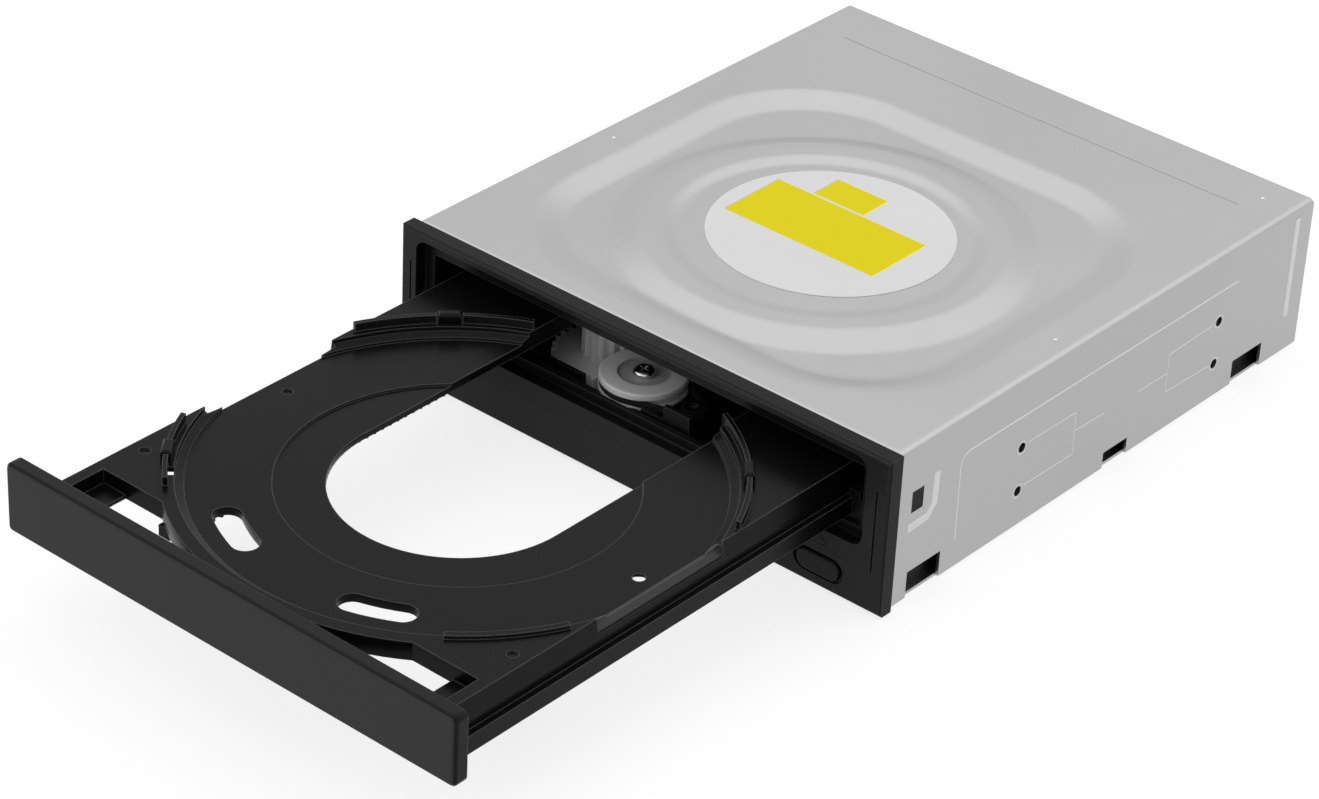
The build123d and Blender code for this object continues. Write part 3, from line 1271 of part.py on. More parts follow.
# Top cover: lid, side walls and rear wall in one sheet
cover_front = wall_gap
wall_low = 0.3
wall_high = body_height - cover_round
side_notches = ((6.5, 18.7, 7.2), (82.0, 91.6, 4.6), (body_depth - 28.6, body_depth - 16.0, 6.8))
with BuildPart() as top_cover:
    add(cover_mass(0))
    add(cover_mass(sheet), mode=Mode.SUBTRACT)
    for side in (-1, 1):
        block(*sorted((side * (half_width - sheet), side * half_width)), cover_front, body_depth,
              wall_low, wall_high)
    block(-half_width, half_width, body_depth - sheet, body_depth, wall_low, wall_high)
    for side in (-1, 1):
        for y0, y1, height in side_notches:
            block(*sorted((side * (half_width - 2 * sheet), side * (half_width + 1))), y0, y1, 0, height,
                  mode=Mode.SUBTRACT)
        block(*sorted((side * (half_width - 2 * sheet), side * (half_width + 1))), hook_start - hook_room,
              hook_end + hook_room, arm_low + hook_inset - hook_room, arm_top - hook_inset + hook_room,
              mode=Mode.SUBTRACT)
        for y in screw_holes_y:
            for z in side_holes_z:
                collar_span = sorted((side * (half_width - sheet - collar_depth),
                                      side * (half_width - sheet / 2)))
                cross_bar(*collar_span, y, z,
                          thread_minor + collar_wall)
        for y in screw_holes_y:
            for z in side_holes_z:
                cross_bar(*sorted((side * (half_width - 5), side * (half_width + 1))), y, z, thread_minor,
                          mode=Mode.SUBTRACT)
    block(port_window[0], port_window[1], body_depth - 2, body_depth + 1, port_window[2], port_window[3],
          mode=Mode.SUBTRACT)
save(top_cover.part, "top_cover")

with BuildPart() as cover_label:
    drum(slot_axis, spindle_y, body_height - well_depth, body_height - well_depth + label_thick, label_radius)
save(cover_label.part, "cover_label")

# Bottom cover with its tapped collars
cover_inner = half_width - sheet - wall_gap
sunk_head_radius = 2.15
sunk_gap = 0.15
sunk_depth = 0.05
with BuildPart() as bottom_cover:
    block(-cover_inner, cover_inner, cover_front, body_depth - sheet - wall_gap, 0, sheet)
    for side in (-1, 1):
        for y in screw_holes_y:
            drum(side * bottom_hole_pitch / 2, y, sheet / 2, sheet + collar_depth, thread_minor + collar_wall)
        for y in screw_holes_y:
            drum(side * bottom_hole_pitch / 2, y, -1, sheet + collar_depth + 1, thread_minor,
                 mode=Mode.SUBTRACT)
    for x, y in cover_screws_at:
        drum(x, y, -1, sheet + 1, screw_pilot + wall_gap, mode=Mode.SUBTRACT)
        with BuildSketch(Plane(origin=(x, y, 0))):
            Circle(sunk_head_radius + sunk_gap)
        with BuildSketch(Plane(origin=(x, y, sheet - wall_gap))):
            Circle(screw_pilot + sunk_gap)
        loft(mode=Mode.SUBTRACT)
save(bottom_cover.part, "bottom_cover")

with BuildPart() as cover_screws:
    for x, y in cover_screws_at:
        with BuildSketch(Plane(origin=(x, y, sunk_depth))):
            Circle(sunk_head_radius)
        with BuildSketch(Plane(origin=(x, y, sheet - wall_gap))):
            Circle(screw_pilot - screw_fit)
        loft()
        drum(x, y, sheet - wall_gap - sunk_depth, screw_tip, screw_pilot - screw_fit)
save(cover_screws.part, "cover_screws")
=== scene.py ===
import math

import bmesh
import bpy
from mathutils import Matrix, Vector


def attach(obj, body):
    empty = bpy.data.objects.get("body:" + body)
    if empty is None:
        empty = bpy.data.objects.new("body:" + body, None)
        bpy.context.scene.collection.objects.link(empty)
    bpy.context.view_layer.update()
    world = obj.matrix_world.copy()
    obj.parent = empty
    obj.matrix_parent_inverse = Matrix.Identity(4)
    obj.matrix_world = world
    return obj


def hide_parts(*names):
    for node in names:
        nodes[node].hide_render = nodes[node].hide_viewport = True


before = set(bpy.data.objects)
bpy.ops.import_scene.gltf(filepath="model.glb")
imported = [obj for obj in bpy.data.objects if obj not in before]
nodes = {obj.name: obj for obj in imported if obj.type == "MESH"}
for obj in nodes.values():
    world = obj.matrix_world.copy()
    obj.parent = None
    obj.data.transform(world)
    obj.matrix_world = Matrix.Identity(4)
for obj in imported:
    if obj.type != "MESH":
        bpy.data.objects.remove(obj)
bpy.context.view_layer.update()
mm = 0.001

# Body and cover, in millimetres
slot_axis = -0.75
body_half_width = 73.0
body_depth = 164.0
body_top = 41.3
body_front = 0.1
cover_round = 1.2
front_round = 1.2
bezel_front = -4.46

# Basin, ring and dish pressed into the lid, in millimetres
ring_y = 64.6
basin_half = 62.6
basin_front = 7.0
basin_rear = 127.6
basin_corner = 36.0
basin_slope = 8.0
basin_depth = 1.9
plateau_base = 52.0
plateau_top = 44.0
well_top = 38.6
well_base = 35.6
well_depth = 0.8
slope_blend = 0.4
well_blend = 0.3
skin_reach = 1.6

# Crease across the rear of the lid and its painted shade line, in millimetres
crease_y = 147.6
crease_half = 61.6
crease_depth = 0.04
crease_width = 0.4
crease_fade = 3.0
crease_bend = 0.9
crease_bend_reach = 9.0
crease_rows_shift = 0.4
crease_shade_half = 0.2

# Shares: a slope's rounded end against its length, and the least upward lean of the upper skin
slope_round = 0.2
upward_lean = 0.02

# Mesh of the lid: steps in millimetres, and counts
lid_step = 0.9
fine_step = 0.2
fine_steps = 8
round_steps = 6
place_digits = 3

# Lines and rims pressed into the sides, in millimetres; a line has a width and a height
side_hole_y = (47.4, 126.64)
side_hole_z = (9.93, 21.84)
rim_profile = ((1.85, -0.02), (1.65, 0.08), (1.5, 0.05), (1.3, -0.3), (1.27, -0.7))
rim_segments = 32
latch_band = (2.2, 0.05)
corner_band = (2.0, 0.12)
panel_line = (0.45, 0.07)
fine_line = (0.32, 0.05)
panel_corner_radius = 3.6
bead_sink = 0.02

# Weld dots of the lid and the mark over the button, in millimetres
dot_spots = ((-67.7, 64.4), (67.7, 64.4), (64.0, 154.6))
dot_radius = 0.55
dot_height = 0.14
dot_segments = 16
dot_rings = 10
mark_spot = (56.0, 12.9)
mark_half = 1.9
mark_bar = (1.3, 0.6)
mark_rise = 0.12
mark_sink = 0.05

# Rounded edges and painted edge highlights: widths in millimetres, angles in degrees
edge_rounds = {"tray": 0.22, "tray_door": 0.2, "front_bezel": 0.2, "main_frame": 0.15,
               "disc_tab_front_left": 0.2, "disc_tab_rear_left": 0.2, "disc_tab_rear_right": 0.2}
weld_reach = 0.002
flat_angle = 0.5
sharp_angle = 35
edge_highlight_reach = 0.5
edge_highlight_strength = 5.0
edge_highlight_samples = 6

# Tinted places, several of them painted light or shade: spots and half sizes on the plan in millimetres, and
# their tones
beyond_sides = 80.0
door_face = -134.66
# The door's front face is coloured a lighter black than its other faces
door_front_skin_depth = 0.25
door_front_tone = (0.043, 0.043, 0.0435)
# Painted light: the bezel's front face is coloured a lighter black than the rest of the bezel
painted_light_face_depth = 0.5
bezel_face_painted_light_tone = (0.027, 0.027, 0.0275)
# Painted highlight: a lighter stripe along the tray's sloped edge strip
highlight_strip_spot = (57.4, -62.5)
highlight_strip_half = (0.95, 20.4)
strip_painted_highlight_tone = (0.07, 0.07, 0.07)
pulley_spot = (-10.0, 11.0)
pulley_dish = 6.4
# Painted shade: the pulley's recessed dish is coloured darker
dish_painted_shade_tone = (0.5, 0.5, 0.5)
label_blocks = (((-3.6, 67.9), (22.8, 10.3)), ((-8.2, 83.7), (7.7, 4.8)))
label_yellow = (0.94, 0.8, 0.004)
# Painted shade: a dark line along the rear crease of the lid
crease_painted_shade_tone = (0.27, 0.27, 0.27)

# Noise of the made surfaces: detail, shares, and depth of scatter in metres
patch_detail = 3.0
grain_detail = 2.0
grain_share = 0.35
tone_low = 0.3
tone_high = 0.7
scatter_reach = 0.002

# Camera: angles in degrees, lens in millimetres, the rest in metres
camera_azimuth = 39.38
camera_elevation = 31.97
camera_roll = 2.96
camera_distance = 1.00867
camera_aside = 0.02289
camera_above = 0.01205
camera_target = (0.0, 0.040, 0.020)
sensor_width = 36.0
lens_length = 116.15
clip_near = 0.05
clip_far = 20.0

# Floor, world and lamps: lengths in metres, lamp power in watts
floor_half = 3.0
floor_drop = 0.0004
floor_tone = (0.3, 0.3, 0.3)
floor_roughness = 0.9
floor_gloss = 0.1
floor_glow = 0.8
world_light = 0.45
world_seen = 1.0
lamps = (
    ("overhead_softbox", (-0.2, 0.2, 1.6), (0.0, 0.0, 0.0), (3.0, 3.0), 13.0),
    ("front_softbox", (-0.7, -1.5, 0.8), (0.0, -0.05, 0.02), (1.8, 1.4), 5.0),
    ("rear_side_softbox", (0.95, 1.15, 0.95), (0.0, 0.0, 0.02), (1.5, 1.2), 2.5),
)

bpy.context.scene.view_settings.view_transform = "Standard"


# Camera at the photograph's place
def place_camera():
    """Camera at the photograph's viewing angle, looking past a point on the tray's slot."""
    azimuth = math.radians(camera_azimuth)
    elevation = math.radians(camera_elevation)
    roll = math.radians(camera_roll)
    back = Vector((math.sin(azimuth) * math.cos(elevation), -math.cos(azimuth) * math.cos(elevation),
                   math.sin(elevation)))
    level = (-back).cross(Vector((0, 0, 1))).normalized()
    upright = level.cross(-back)
    right = level * math.cos(roll) + upright * math.sin(roll)
    up = upright * math.cos(roll) - level * math.sin(roll)
    data = bpy.data.cameras.new("photo_camera")
    data.sensor_width = sensor_width
    data.lens = lens_length
    data.clip_start = clip_near
    data.clip_end = clip_far
    camera = bpy.data.objects.new("photo_camera", data)
    bpy.context.scene.collection.objects.link(camera)
    turn = Matrix((right, up, back)).transposed()
    spot = Vector(camera_target) + back * camera_distance - right * camera_aside - up * camera_above
    camera.matrix_world = Matrix.Translation(spot) @ turn.to_4x4()
    bpy.context.scene.camera = camera


place_camera()


# Shared surface effects
def group_sockets(tree, incoming, outgoing):
    """Named sockets of a node group."""
    for name, kind in incoming:
        tree.interface.new_socket(name=name, in_out="INPUT", socket_type="NodeSocket" + kind)
    for name, kind in outgoing:
        tree.interface.new_socket(name=name, in_out="OUTPUT", socket_type="NodeSocket" + kind)


def build_surface_group():
    """Colour, roughness and height of a made surface: soft patches of tone over a fine grain."""
    tree = bpy.data.node_groups.new("surface_tone", "ShaderNodeTree")
    group_sockets(tree,
                  (("Colour", "Color"), ("Second Colour", "Color"), ("Patches per Metre", "Float"),
                   ("Grains per Metre", "Float"), ("Stretch", "Vector"), ("Smooth Roughness", "Float"),
                   ("Dull Roughness", "Float")),
                  (("Colour", "Color"), ("Roughness", "Float"), ("Height", "Float")))
    link = tree.links.new
    into = tree.nodes.new("NodeGroupInput")
    out = tree.nodes.new("NodeGroupOutput")
    place = tree.nodes.new("ShaderNodeTexCoord")
    stretched = tree.nodes.new("ShaderNodeVectorMath")
    stretched.operation = "MULTIPLY"
    link(place.outputs["Object"], stretched.inputs[0])
    link(into.outputs["Stretch"], stretched.inputs[1])
    patches = tree.nodes.new("ShaderNodeTexNoise")
    patches.inputs["Detail"].default_value = patch_detail
    link(place.outputs["Object"], patches.inputs["Vector"])
    link(into.outputs["Patches per Metre"], patches.inputs["Scale"])
    grain = tree.nodes.new("ShaderNodeTexNoise")
    grain.inputs["Detail"].default_value = grain_detail
    link(stretched.outputs[0], grain.inputs["Vector"])
    link(into.outputs["Grains per Metre"], grain.inputs["Scale"])
    both = tree.nodes.new("ShaderNodeMix")
    both.inputs["Factor"].default_value = grain_share
    link(patches.outputs["Fac"], both.inputs["A"])
    link(grain.outputs["Fac"], both.inputs["B"])
    spread = tree.nodes.new("ShaderNodeMapRange")
    spread.inputs["From Min"].default_value = tone_low
    spread.inputs["From Max"].default_value = tone_high
    link(both.outputs["Result"], spread.inputs["Value"])
    tone = tree.nodes.new("ShaderNodeMix")
    tone.data_type = "RGBA"
    link(spread.outputs["Result"], tone.inputs["Factor"])
    link(into.outputs["Colour"], tone.inputs["A"])
    link(into.outputs["Second Colour"], tone.inputs["B"])
    dullness = tree.nodes.new("ShaderNodeMix")
    link(spread.outputs["Result"], dullness.inputs["Factor"])
    link(into.outputs["Smooth Roughness"], dullness.inputs["A"])
    link(into.outputs["Dull Roughness"], dullness.inputs["B"])
    link(tone.outputs["Result"], out.inputs["Colour"])
    link(dullness.outputs["Result"], out.inputs["Roughness"])
    link(grain.outputs["Fac"], out.inputs["Height"])
    return tree


surface_group = build_surface_group()


def surface_material(name, colour, second, roughness, dull, patches, grains, relief, stretch=(1, 1, 1),
                     metallic=0.0, specular=0.5, transmission=0.0, ior=1.45, scatter=0.0):
    """Material whose colour, roughness and relief come from the shared surface effect."""
    material = bpy.data.materials.new(name)
    material.use_nodes = True
    tree = material.node_tree
    shader = tree.nodes["Principled BSDF"]
    shader.inputs["Metallic"].default_value = metallic
    shader.inputs["Specular IOR Level"].default_value = specular
    shader.inputs["Transmission Weight"].default_value = transmission
    shader.inputs["IOR"].default_value = ior
    if scatter:
        shader.inputs["Subsurface Weight"].default_value = scatter
        shader.inputs["Subsurface Radius"].default_value = (scatter_reach,) * 3
        shader.inputs["Subsurface Scale"].default_value = 1.0
    surface = tree.nodes.new("ShaderNodeGroup")
    surface.node_tree = surface_group
    surface.inputs["Colour"].default_value = (*colour, 1)
    surface.inputs["Second Colour"].default_value = (*second, 1)
    surface.inputs["Patches per Metre"].default_value = patches
    surface.inputs["Grains per Metre"].default_value = grains
    surface.inputs["Stretch"].default_value = stretch
    surface.inputs["Smooth Roughness"].default_value = roughness
    surface.inputs["Dull Roughness"].default_value = dull
    relief_node = tree.nodes.new("ShaderNodeBump")
    relief_node.inputs["Strength"].default_value = 1.0
    relief_node.inputs["Distance"].default_value = relief
    tree.links.new(surface.outputs["Height"], relief_node.inputs["Height"])
    tree.links.new(surface.outputs["Colour"], shader.inputs["Base Color"])
    tree.links.new(surface.outputs["Roughness"], shader.inputs["Roughness"])
    tree.links.new(relief_node.outputs["Normal"], shader.inputs["Normal"])
    return material


def build_rectangle_group():
    """Mask of an upright box, from its middle and half sizes on the plan."""
    tree = bpy.data.node_groups.new("plan_rectangle", "ShaderNodeTree")
    sides = (("Middle X", "Half Width"), ("Middle Y", "Half Depth"))
    group_sockets(tree, [(name, "Float") for side in sides for name in side], (("Mask", "Float"),))
    link = tree.links.new
    into = tree.nodes.new("NodeGroupInput")
    out = tree.nodes.new("NodeGroupOutput")
    place = tree.nodes.new("ShaderNodeTexCoord")
    parts = tree.nodes.new("ShaderNodeSeparateXYZ")
    link(place.outputs["Object"], parts.inputs[0])
    both = tree.nodes.new("ShaderNodeMath")
    both.operation = "MULTIPLY"
    for i, (middle, half) in enumerate(sides):
        near = tree.nodes.new("ShaderNodeMath")
        near.operation = "COMPARE"
        link(parts.outputs[i], near.inputs[0])
        link(into.outputs[middle], near.inputs[1])
        link(into.outputs[half], near.inputs[2])
        link(near.outputs[0], both.inputs[i])
    link(both.outputs[0], out.inputs["Mask"])
    return tree


rectangle_group = build_rectangle_group()


def rectangle_mask(material, middle, half):
    """1 inside a rectangle given in millimetres on the drive's plan, 0 outside it."""
    box = material.node_tree.nodes.new("ShaderNodeGroup")
    box.node_tree = rectangle_group
    for name, value in zip(("Middle X", "Middle Y", "Half Width", "Half Depth"), (*middle, *half)):
        box.inputs[name].default_value = value * mm
    return box.outputs["Mask"]


def circle_mask(material, middle, radius):
    """1 inside a circle round an upright axis, 0 outside it."""
    tree = material.node_tree
    place = tree.nodes.new("ShaderNodeTexCoord")
    flat = tree.nodes.new("ShaderNodeVectorMath")
    flat.operation = "MULTIPLY"
    flat.inputs[1].default_value = (1, 1, 0)
    tree.links.new(place.outputs["Object"], flat.inputs[0])
    away = tree.nodes.new("ShaderNodeVectorMath")
    away.operation = "DISTANCE"
    away.inputs[1].default_value = (middle[0] * mm, middle[1] * mm, 0)
    tree.links.new(flat.outputs[0], away.inputs[0])
    inside = tree.nodes.new("ShaderNodeMath")
    inside.operation = "LESS_THAN"
    inside.inputs[1].default_value = radius * mm
    tree.links.new(away.outputs["Value"], inside.inputs[0])
    return inside.outputs[0]


def tint_where(material, mask, colour):
    """Lay a second colour over a material's own where a mask is 1."""
    tree = material.node_tree
    base = tree.nodes["Principled BSDF"].inputs["Base Color"]
    below = base.links[0].from_socket
    over = tree.nodes.new("ShaderNodeMix")
    over.data_type = "RGBA"
    over.inputs["B"].default_value = (*colour, 1)
    tree.links.new(mask, over.inputs["Factor"])
    tree.links.new(below, over.inputs["A"])
    tree.links.new(over.outputs["Result"], base)


def build_edge_group():
    """Mask of a moulding's sharp edges, where a painted highlight lightens it."""
    tree = bpy.data.node_groups.new("painted_edge_highlight_mask", "ShaderNodeTree")
    group_sockets(tree, (("Reach", "Float"), ("Strength", "Float")), (("Mask", "Float"),))
    link = tree.links.new
    into = tree.nodes.new("NodeGroupInput")
    out = tree.nodes.new("NodeGroupOutput")
    rounded = tree.nodes.new("ShaderNodeBevel")
    rounded.samples = edge_highlight_samples
    link(into.outputs["Reach"], rounded.inputs["Radius"])
    plain = tree.nodes.new("ShaderNodeNewGeometry")
    agreement = tree.nodes.new("ShaderNodeVectorMath")
    agreement.operation = "DOT_PRODUCT"
    link(rounded.outputs["Normal"], agreement.inputs[0])
    link(plain.outputs["Normal"], agreement.inputs[1])
    turned = tree.nodes.new("ShaderNodeMath")
    turned.operation = "SUBTRACT"
    turned.inputs[0].default_value = 1.0
    link(agreement.outputs["Value"], turned.inputs[1])
    mask = tree.nodes.new("ShaderNodeMath")
    mask.operation = "MULTIPLY"
    mask.use_clamp = True
    link(turned.outputs[0], mask.inputs[0])
    link(into.outputs["Strength"], mask.inputs[1])
    link(mask.outputs[0], out.inputs["Mask"])
    return tree


edge_group = build_edge_group()


def edge_mask(material, reach, strength):
    """Mask of the sharp edges of what the material covers."""
    edges = material.node_tree.nodes.new("ShaderNodeGroup")
    edges.node_tree = edge_group
    edges.inputs["Reach"].default_value = reach * mm
    edges.inputs["Strength"].default_value = strength
    return edges.outputs["Mask"]


# Finishes of the drive's pieces
cover_steel = surface_material(
    "zinc_coated_sheet",
    colour=(0.415, 0.415, 0.415), second=(0.44, 0.44, 0.44), roughness=0.28, dull=0.33,
    patches=18, grains=1400, relief=0.000008, metallic=1.0)
# Painted highlight: a lighter copy of the lid's steel for the pressed side lines and the hole rims
highlight_steel = surface_material(
    "lighter_sheet_painted_highlight",
    colour=(0.57, 0.57, 0.57), second=(0.6, 0.6, 0.6), roughness=0.26, dull=0.3,
    patches=40, grains=1600, relief=0.000006, metallic=1.0)
inner_steel = surface_material(
    "pressed_steel",
    colour=(0.36, 0.36, 0.37), second=(0.42, 0.42, 0.43), roughness=0.28, dull=0.4,
    patches=30, grains=1800, stretch=(1, 0.12, 1), relief=0.00001, metallic=0.9)
bright_steel = surface_material(
    "nickelled_screw",
    colour=(0.55, 0.55, 0.56), second=(0.68, 0.68, 0.69), roughness=0.14, dull=0.26,
    patches=300, grains=4000, relief=0.000006, metallic=1.0)
rod_steel = surface_material(
    "ground_rod",
    colour=(0.62, 0.62, 0.63), second=(0.7, 0.7, 0.71), roughness=0.1, dull=0.18,
    patches=60, grains=3000, stretch=(1, 0.05, 1), relief=0.000004, metallic=1.0)
bezel_plastic = surface_material(
    "fine_textured_black",
    colour=(0.0055, 0.0055, 0.006), second=(0.008, 0.008, 0.0085), roughness=0.32, dull=0.42,
    patches=30, grains=3200, relief=0.00003, specular=0.11)
door_plastic = surface_material(
    "door_black",
    colour=(0.007, 0.007, 0.0075), second=(0.0095, 0.0095, 0.01), roughness=0.3, dull=0.4,
    patches=24, grains=4200, relief=0.00001, specular=0.13)
tray_plastic = surface_material(
    "satin_tray_black",
    colour=(0.0035, 0.0035, 0.0038), second=(0.006, 0.006, 0.0064), roughness=0.22, dull=0.32,
    patches=22, grains=2400, relief=0.00001, specular=0.1)
frame_plastic = surface_material(
    "frame_black",
    colour=(0.004, 0.004, 0.0044), second=(0.006, 0.006, 0.0064), roughness=0.34, dull=0.46,
    patches=26, grains=2000, relief=0.00002, specular=0.12)
gear_plastic = surface_material(
    "milky_gear",
    colour=(0.78, 0.78, 0.77), second=(0.84, 0.84, 0.83), roughness=0.28, dull=0.38,
    patches=90, grains=1500, relief=0.00001, scatter=0.3)
pulley_plastic = surface_material(
    "milky_pulley",
    colour=(0.86, 0.86, 0.85), second=(0.9, 0.9, 0.89), roughness=0.26, dull=0.36,
    patches=90, grains=1500, relief=0.00001, scatter=0.3)
cream_plastic = surface_material(
    "cream_moulding",
    colour=(0.55, 0.53, 0.47), second=(0.62, 0.6, 0.53), roughness=0.4, dull=0.5,
    patches=60, grains=2000, relief=0.00002)
belt_rubber = surface_material(
    "belt_rubber",
    colour=(0.008, 0.008, 0.008), second=(0.014, 0.014, 0.014), roughness=0.6, dull=0.75,
    patches=200, grains=5000, relief=0.00003, specular=0.2)
damper_rubber = surface_material(
    "damper_rubber",
    colour=(0.05, 0.09, 0.16), second=(0.07, 0.11, 0.18), roughness=0.55, dull=0.7,
    patches=150, grains=4000, relief=0.00003, specular=0.3)
board_lacquer = surface_material(
    "board_lacquer",
    colour=(0.015, 0.11, 0.045), second=(0.02, 0.14, 0.06), roughness=0.25, dull=0.35,
    patches=70, grains=1200, relief=0.00002)
chip_resin = surface_material(
    "chip_resin",
    colour=(0.014, 0.014, 0.015), second=(0.022, 0.022, 0.023), roughness=0.45, dull=0.6,
    patches=200, grains=5000, relief=0.00003, specular=0.4)
can_metal = surface_material(
    "can_metal",
    colour=(0.5, 0.51, 0.52), second=(0.58, 0.59, 0.6), roughness=0.22, dull=0.34,
    patches=80, grains=3000, relief=0.000008, metallic=0.95)
cable_film = surface_material(
    "cable_film",
    colour=(0.6, 0.63, 0.66), second=(0.7, 0.72, 0.74), roughness=0.3, dull=0.42,
    patches=60, grains=1500, stretch=(6, 0.2, 1), relief=0.00002)
lens_glass = surface_material(
    "coated_lens",
    colour=(0.5, 0.65, 0.85), second=(0.6, 0.55, 0.8), roughness=0.03, dull=0.06,
    patches=150, grains=900, relief=0.0, transmission=0.8, ior=1.5)
lamp_plastic = surface_material(
    "frosted_lamp",
    colour=(0.55, 0.57, 0.55), second=(0.62, 0.64, 0.62), roughness=0.3, dull=0.45,
    patches=200, grains=3000, relief=0.00001, transmission=0.5, ior=1.49)
brass = surface_material(
    "turned_brass",
    colour=(0.6, 0.45, 0.2), second=(0.7, 0.54, 0.26), roughness=0.2, dull=0.32,
    patches=100, grains=2600, stretch=(1, 4, 1), relief=0.00001, metallic=1.0)
label_paper = surface_material(
    "label_paper",
    colour=(0.88, 0.88, 0.88), second=(0.91, 0.91, 0.91), roughness=0.4, dull=0.5,
    patches=50, grains=3000, relief=0.000006, specular=0.1)

# Lighter black on the skin of the door's front face
tint_where(door_plastic, rectangle_mask(door_plastic, (0, door_face), (beyond_sides, door_front_skin_depth)),
           door_front_tone)
# Painted light: lighter black on the bezel's front face
tint_where(bezel_plastic, rectangle_mask(bezel_plastic, (0, bezel_front), (beyond_sides, painted_light_face_depth)),
           bezel_face_painted_light_tone)
# Painted highlight along the tray's sloped edge strip
tint_where(tray_plastic, rectangle_mask(tray_plastic, highlight_strip_spot, highlight_strip_half), strip_painted_highlight_tone)
# Painted shade along the lid's rear crease
tint_where(cover_steel, rectangle_mask(cover_steel, (0, crease_y), (crease_half, crease_shade_half)),
           crease_painted_shade_tone)
for middle, half in label_blocks:
    tint_where(label_paper, rectangle_mask(label_paper, middle, half), label_yellow)
# Painted shade in the pulley's recessed dish
tint_where(pulley_plastic, circle_mask(pulley_plastic, pulley_spot, pulley_dish), dish_painted_shade_tone)
# Painted highlight: the sharp edges of the black mouldings are coloured lighter
edge_highlight_tones = {tray_plastic: 0.12, bezel_plastic: 0.06, door_plastic: 0.07, frame_plastic: 0.05}
for moulding, highlight_grey in edge_highlight_tones.items():
    tint_where(moulding, edge_mask(moulding, edge_highlight_reach, edge_highlight_strength), (highlight_grey, highlight_grey, highlight_grey))

node_finishes = {
    cover_steel: ("top_cover", "bottom_cover"),
    inner_steel: ("clamp_bridge", "clamp_magnet", "traverse_plate", "spindle_motor", "sled_motor",
                  "sled_motor_bracket"),
    bright_steel: ("pulley_screw", "board_screws", "bridge_screws", "cover_screws", "damper_screws"),
    rod_steel: ("guide_rods",),
    bezel_plastic: ("front_bezel", "eject_button"),
    door_plastic: ("tray_door",),
    tray_plastic: ("tray", "disc_tab_front_left", "disc_tab_rear_left", "disc_tab_rear_right", "disc_clamp"),
    frame_plastic: ("main_frame", "lifter_frame", "actuator_cover", "lens_holder", "turntable",
                    "motor_pulley"),
    gear_plastic: ("feed_gear",),
    pulley_plastic: ("pulley_gear",),
    label_paper: ("cover_label",),
    cream_plastic: ("cam_slider", "cable_sockets", "switch_plunger", "activity_lamp"),
    belt_rubber: ("drive_belt", "turntable_mat"),
    damper_rubber: ("dampers",),
    board_lacquer: ("main_board", "front_board"),
    chip_resin: ("board_chips", "data_connector", "power_connector", "eject_switch"),
    can_metal: ("board_capacitors", "loading_motor", "pickup_sled"),
    cable_film: ("flat_cable",),
    lens_glass: ("objective_lens",),
    lamp_plastic: ("lamp_window",),
    brass: ("lead_screw",),
}


def dress(piece, material):
    """Give a piece one material all over."""
    piece.data.materials.clear()
    piece.data.materials.append(material)


for material, names in node_finishes.items():
    for name in names:
        dress(nodes[name], material)


def soften_edges(name, width):
    """Round the sharp edges of a node a little, as moulding and pressing do."""
    node = nodes[name]
    weld = node.modifiers.new("weld", "WELD")
    weld.merge_threshold = weld_reach * mm
    flatten = node.modifiers.new("flatten", "DECIMATE")
    flatten.decimate_type = "DISSOLVE"
    flatten.angle_limit = math.radians(flat_angle)
    bevel = node.modifiers.new("bevel", "BEVEL")
    bevel.width = width * mm
    bevel.segments = 2
    bevel.limit_method = "ANGLE"
    bevel.angle_limit = math.radians(sharp_angle)


for name, width in edge_rounds.items():
    soften_edges(name, width)


# Mesh helpers
def add_piece(name, bm, material, body, smooth=True):
    """Turn a mesh made in millimetres into a piece that rides on a body."""
    bmesh.ops.scale(bm, vec=(mm, mm, mm), verts=bm.verts)
    bmesh.ops.recalc_face_normals(bm, faces=bm.faces)
    mesh = bpy.data.meshes.new(name)
    bm.to_mesh(mesh)
    bm.free()
    piece = bpy.data.objects.new(name, mesh)
    bpy.context.scene.collection.objects.link(piece)
    mesh.materials.append(material)
    if smooth:
        mesh.polygons.foreach_set("use_smooth", [True] * len(mesh.polygons))
    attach(piece, body)
    return piece


def ease(start, end, value):
    """0 before start, 1 after end, and an even slope with rounded ends between them."""
    share = max(0.0, min(1.0, (value - start) / (end - start)))
    steepness = 1 / (1 - slope_round)
    if share < slope_round:
        return steepness * share ** 2 / (2 * slope_round)
    if share > 1 - slope_round:
        return 1 - steepness * (1 - share) ** 2 / (2 * slope_round)
    return steepness * (share - slope_round / 2)


def rounded_rect_inset(x, y):
    """How far a point lies inside the basin's outer edge, negative outside."""
    middle = (basin_front + basin_rear) / 2
    across = abs(x) - (basin_half - basin_corner)
    along = abs(y - middle) - ((basin_rear - basin_front) / 2 - basin_corner)
    outside = math.hypot(max(across, 0.0), max(along, 0.0))
    inside = min(max(across, along), 0.0)
    return basin_corner - outside - inside


def cover_height(x, y):
    """Height of the lid's pressed top at a point, in millimetres."""
    height = body_top - basin_depth * ease(-slope_blend, basin_slope + slope_blend, rounded_rect_inset(x, y))
    radius = math.hypot(x - slot_axis, y - ring_y)
    height += basin_depth * (1 - ease(plateau_top - slope_blend, plateau_base + slope_blend, radius))
    height -= well_depth * (1 - ease(well_base - well_blend, well_top + well_blend, radius))
    crease_end = ease(0, crease_fade, crease_half - abs(x))
    drift = crease_bend * (1 - ease(0, crease_bend_reach, crease_half - abs(x)))
    height -= crease_depth * crease_end * math.exp(-((y - crease_y + drift) / crease_width) ** 2)
    return height


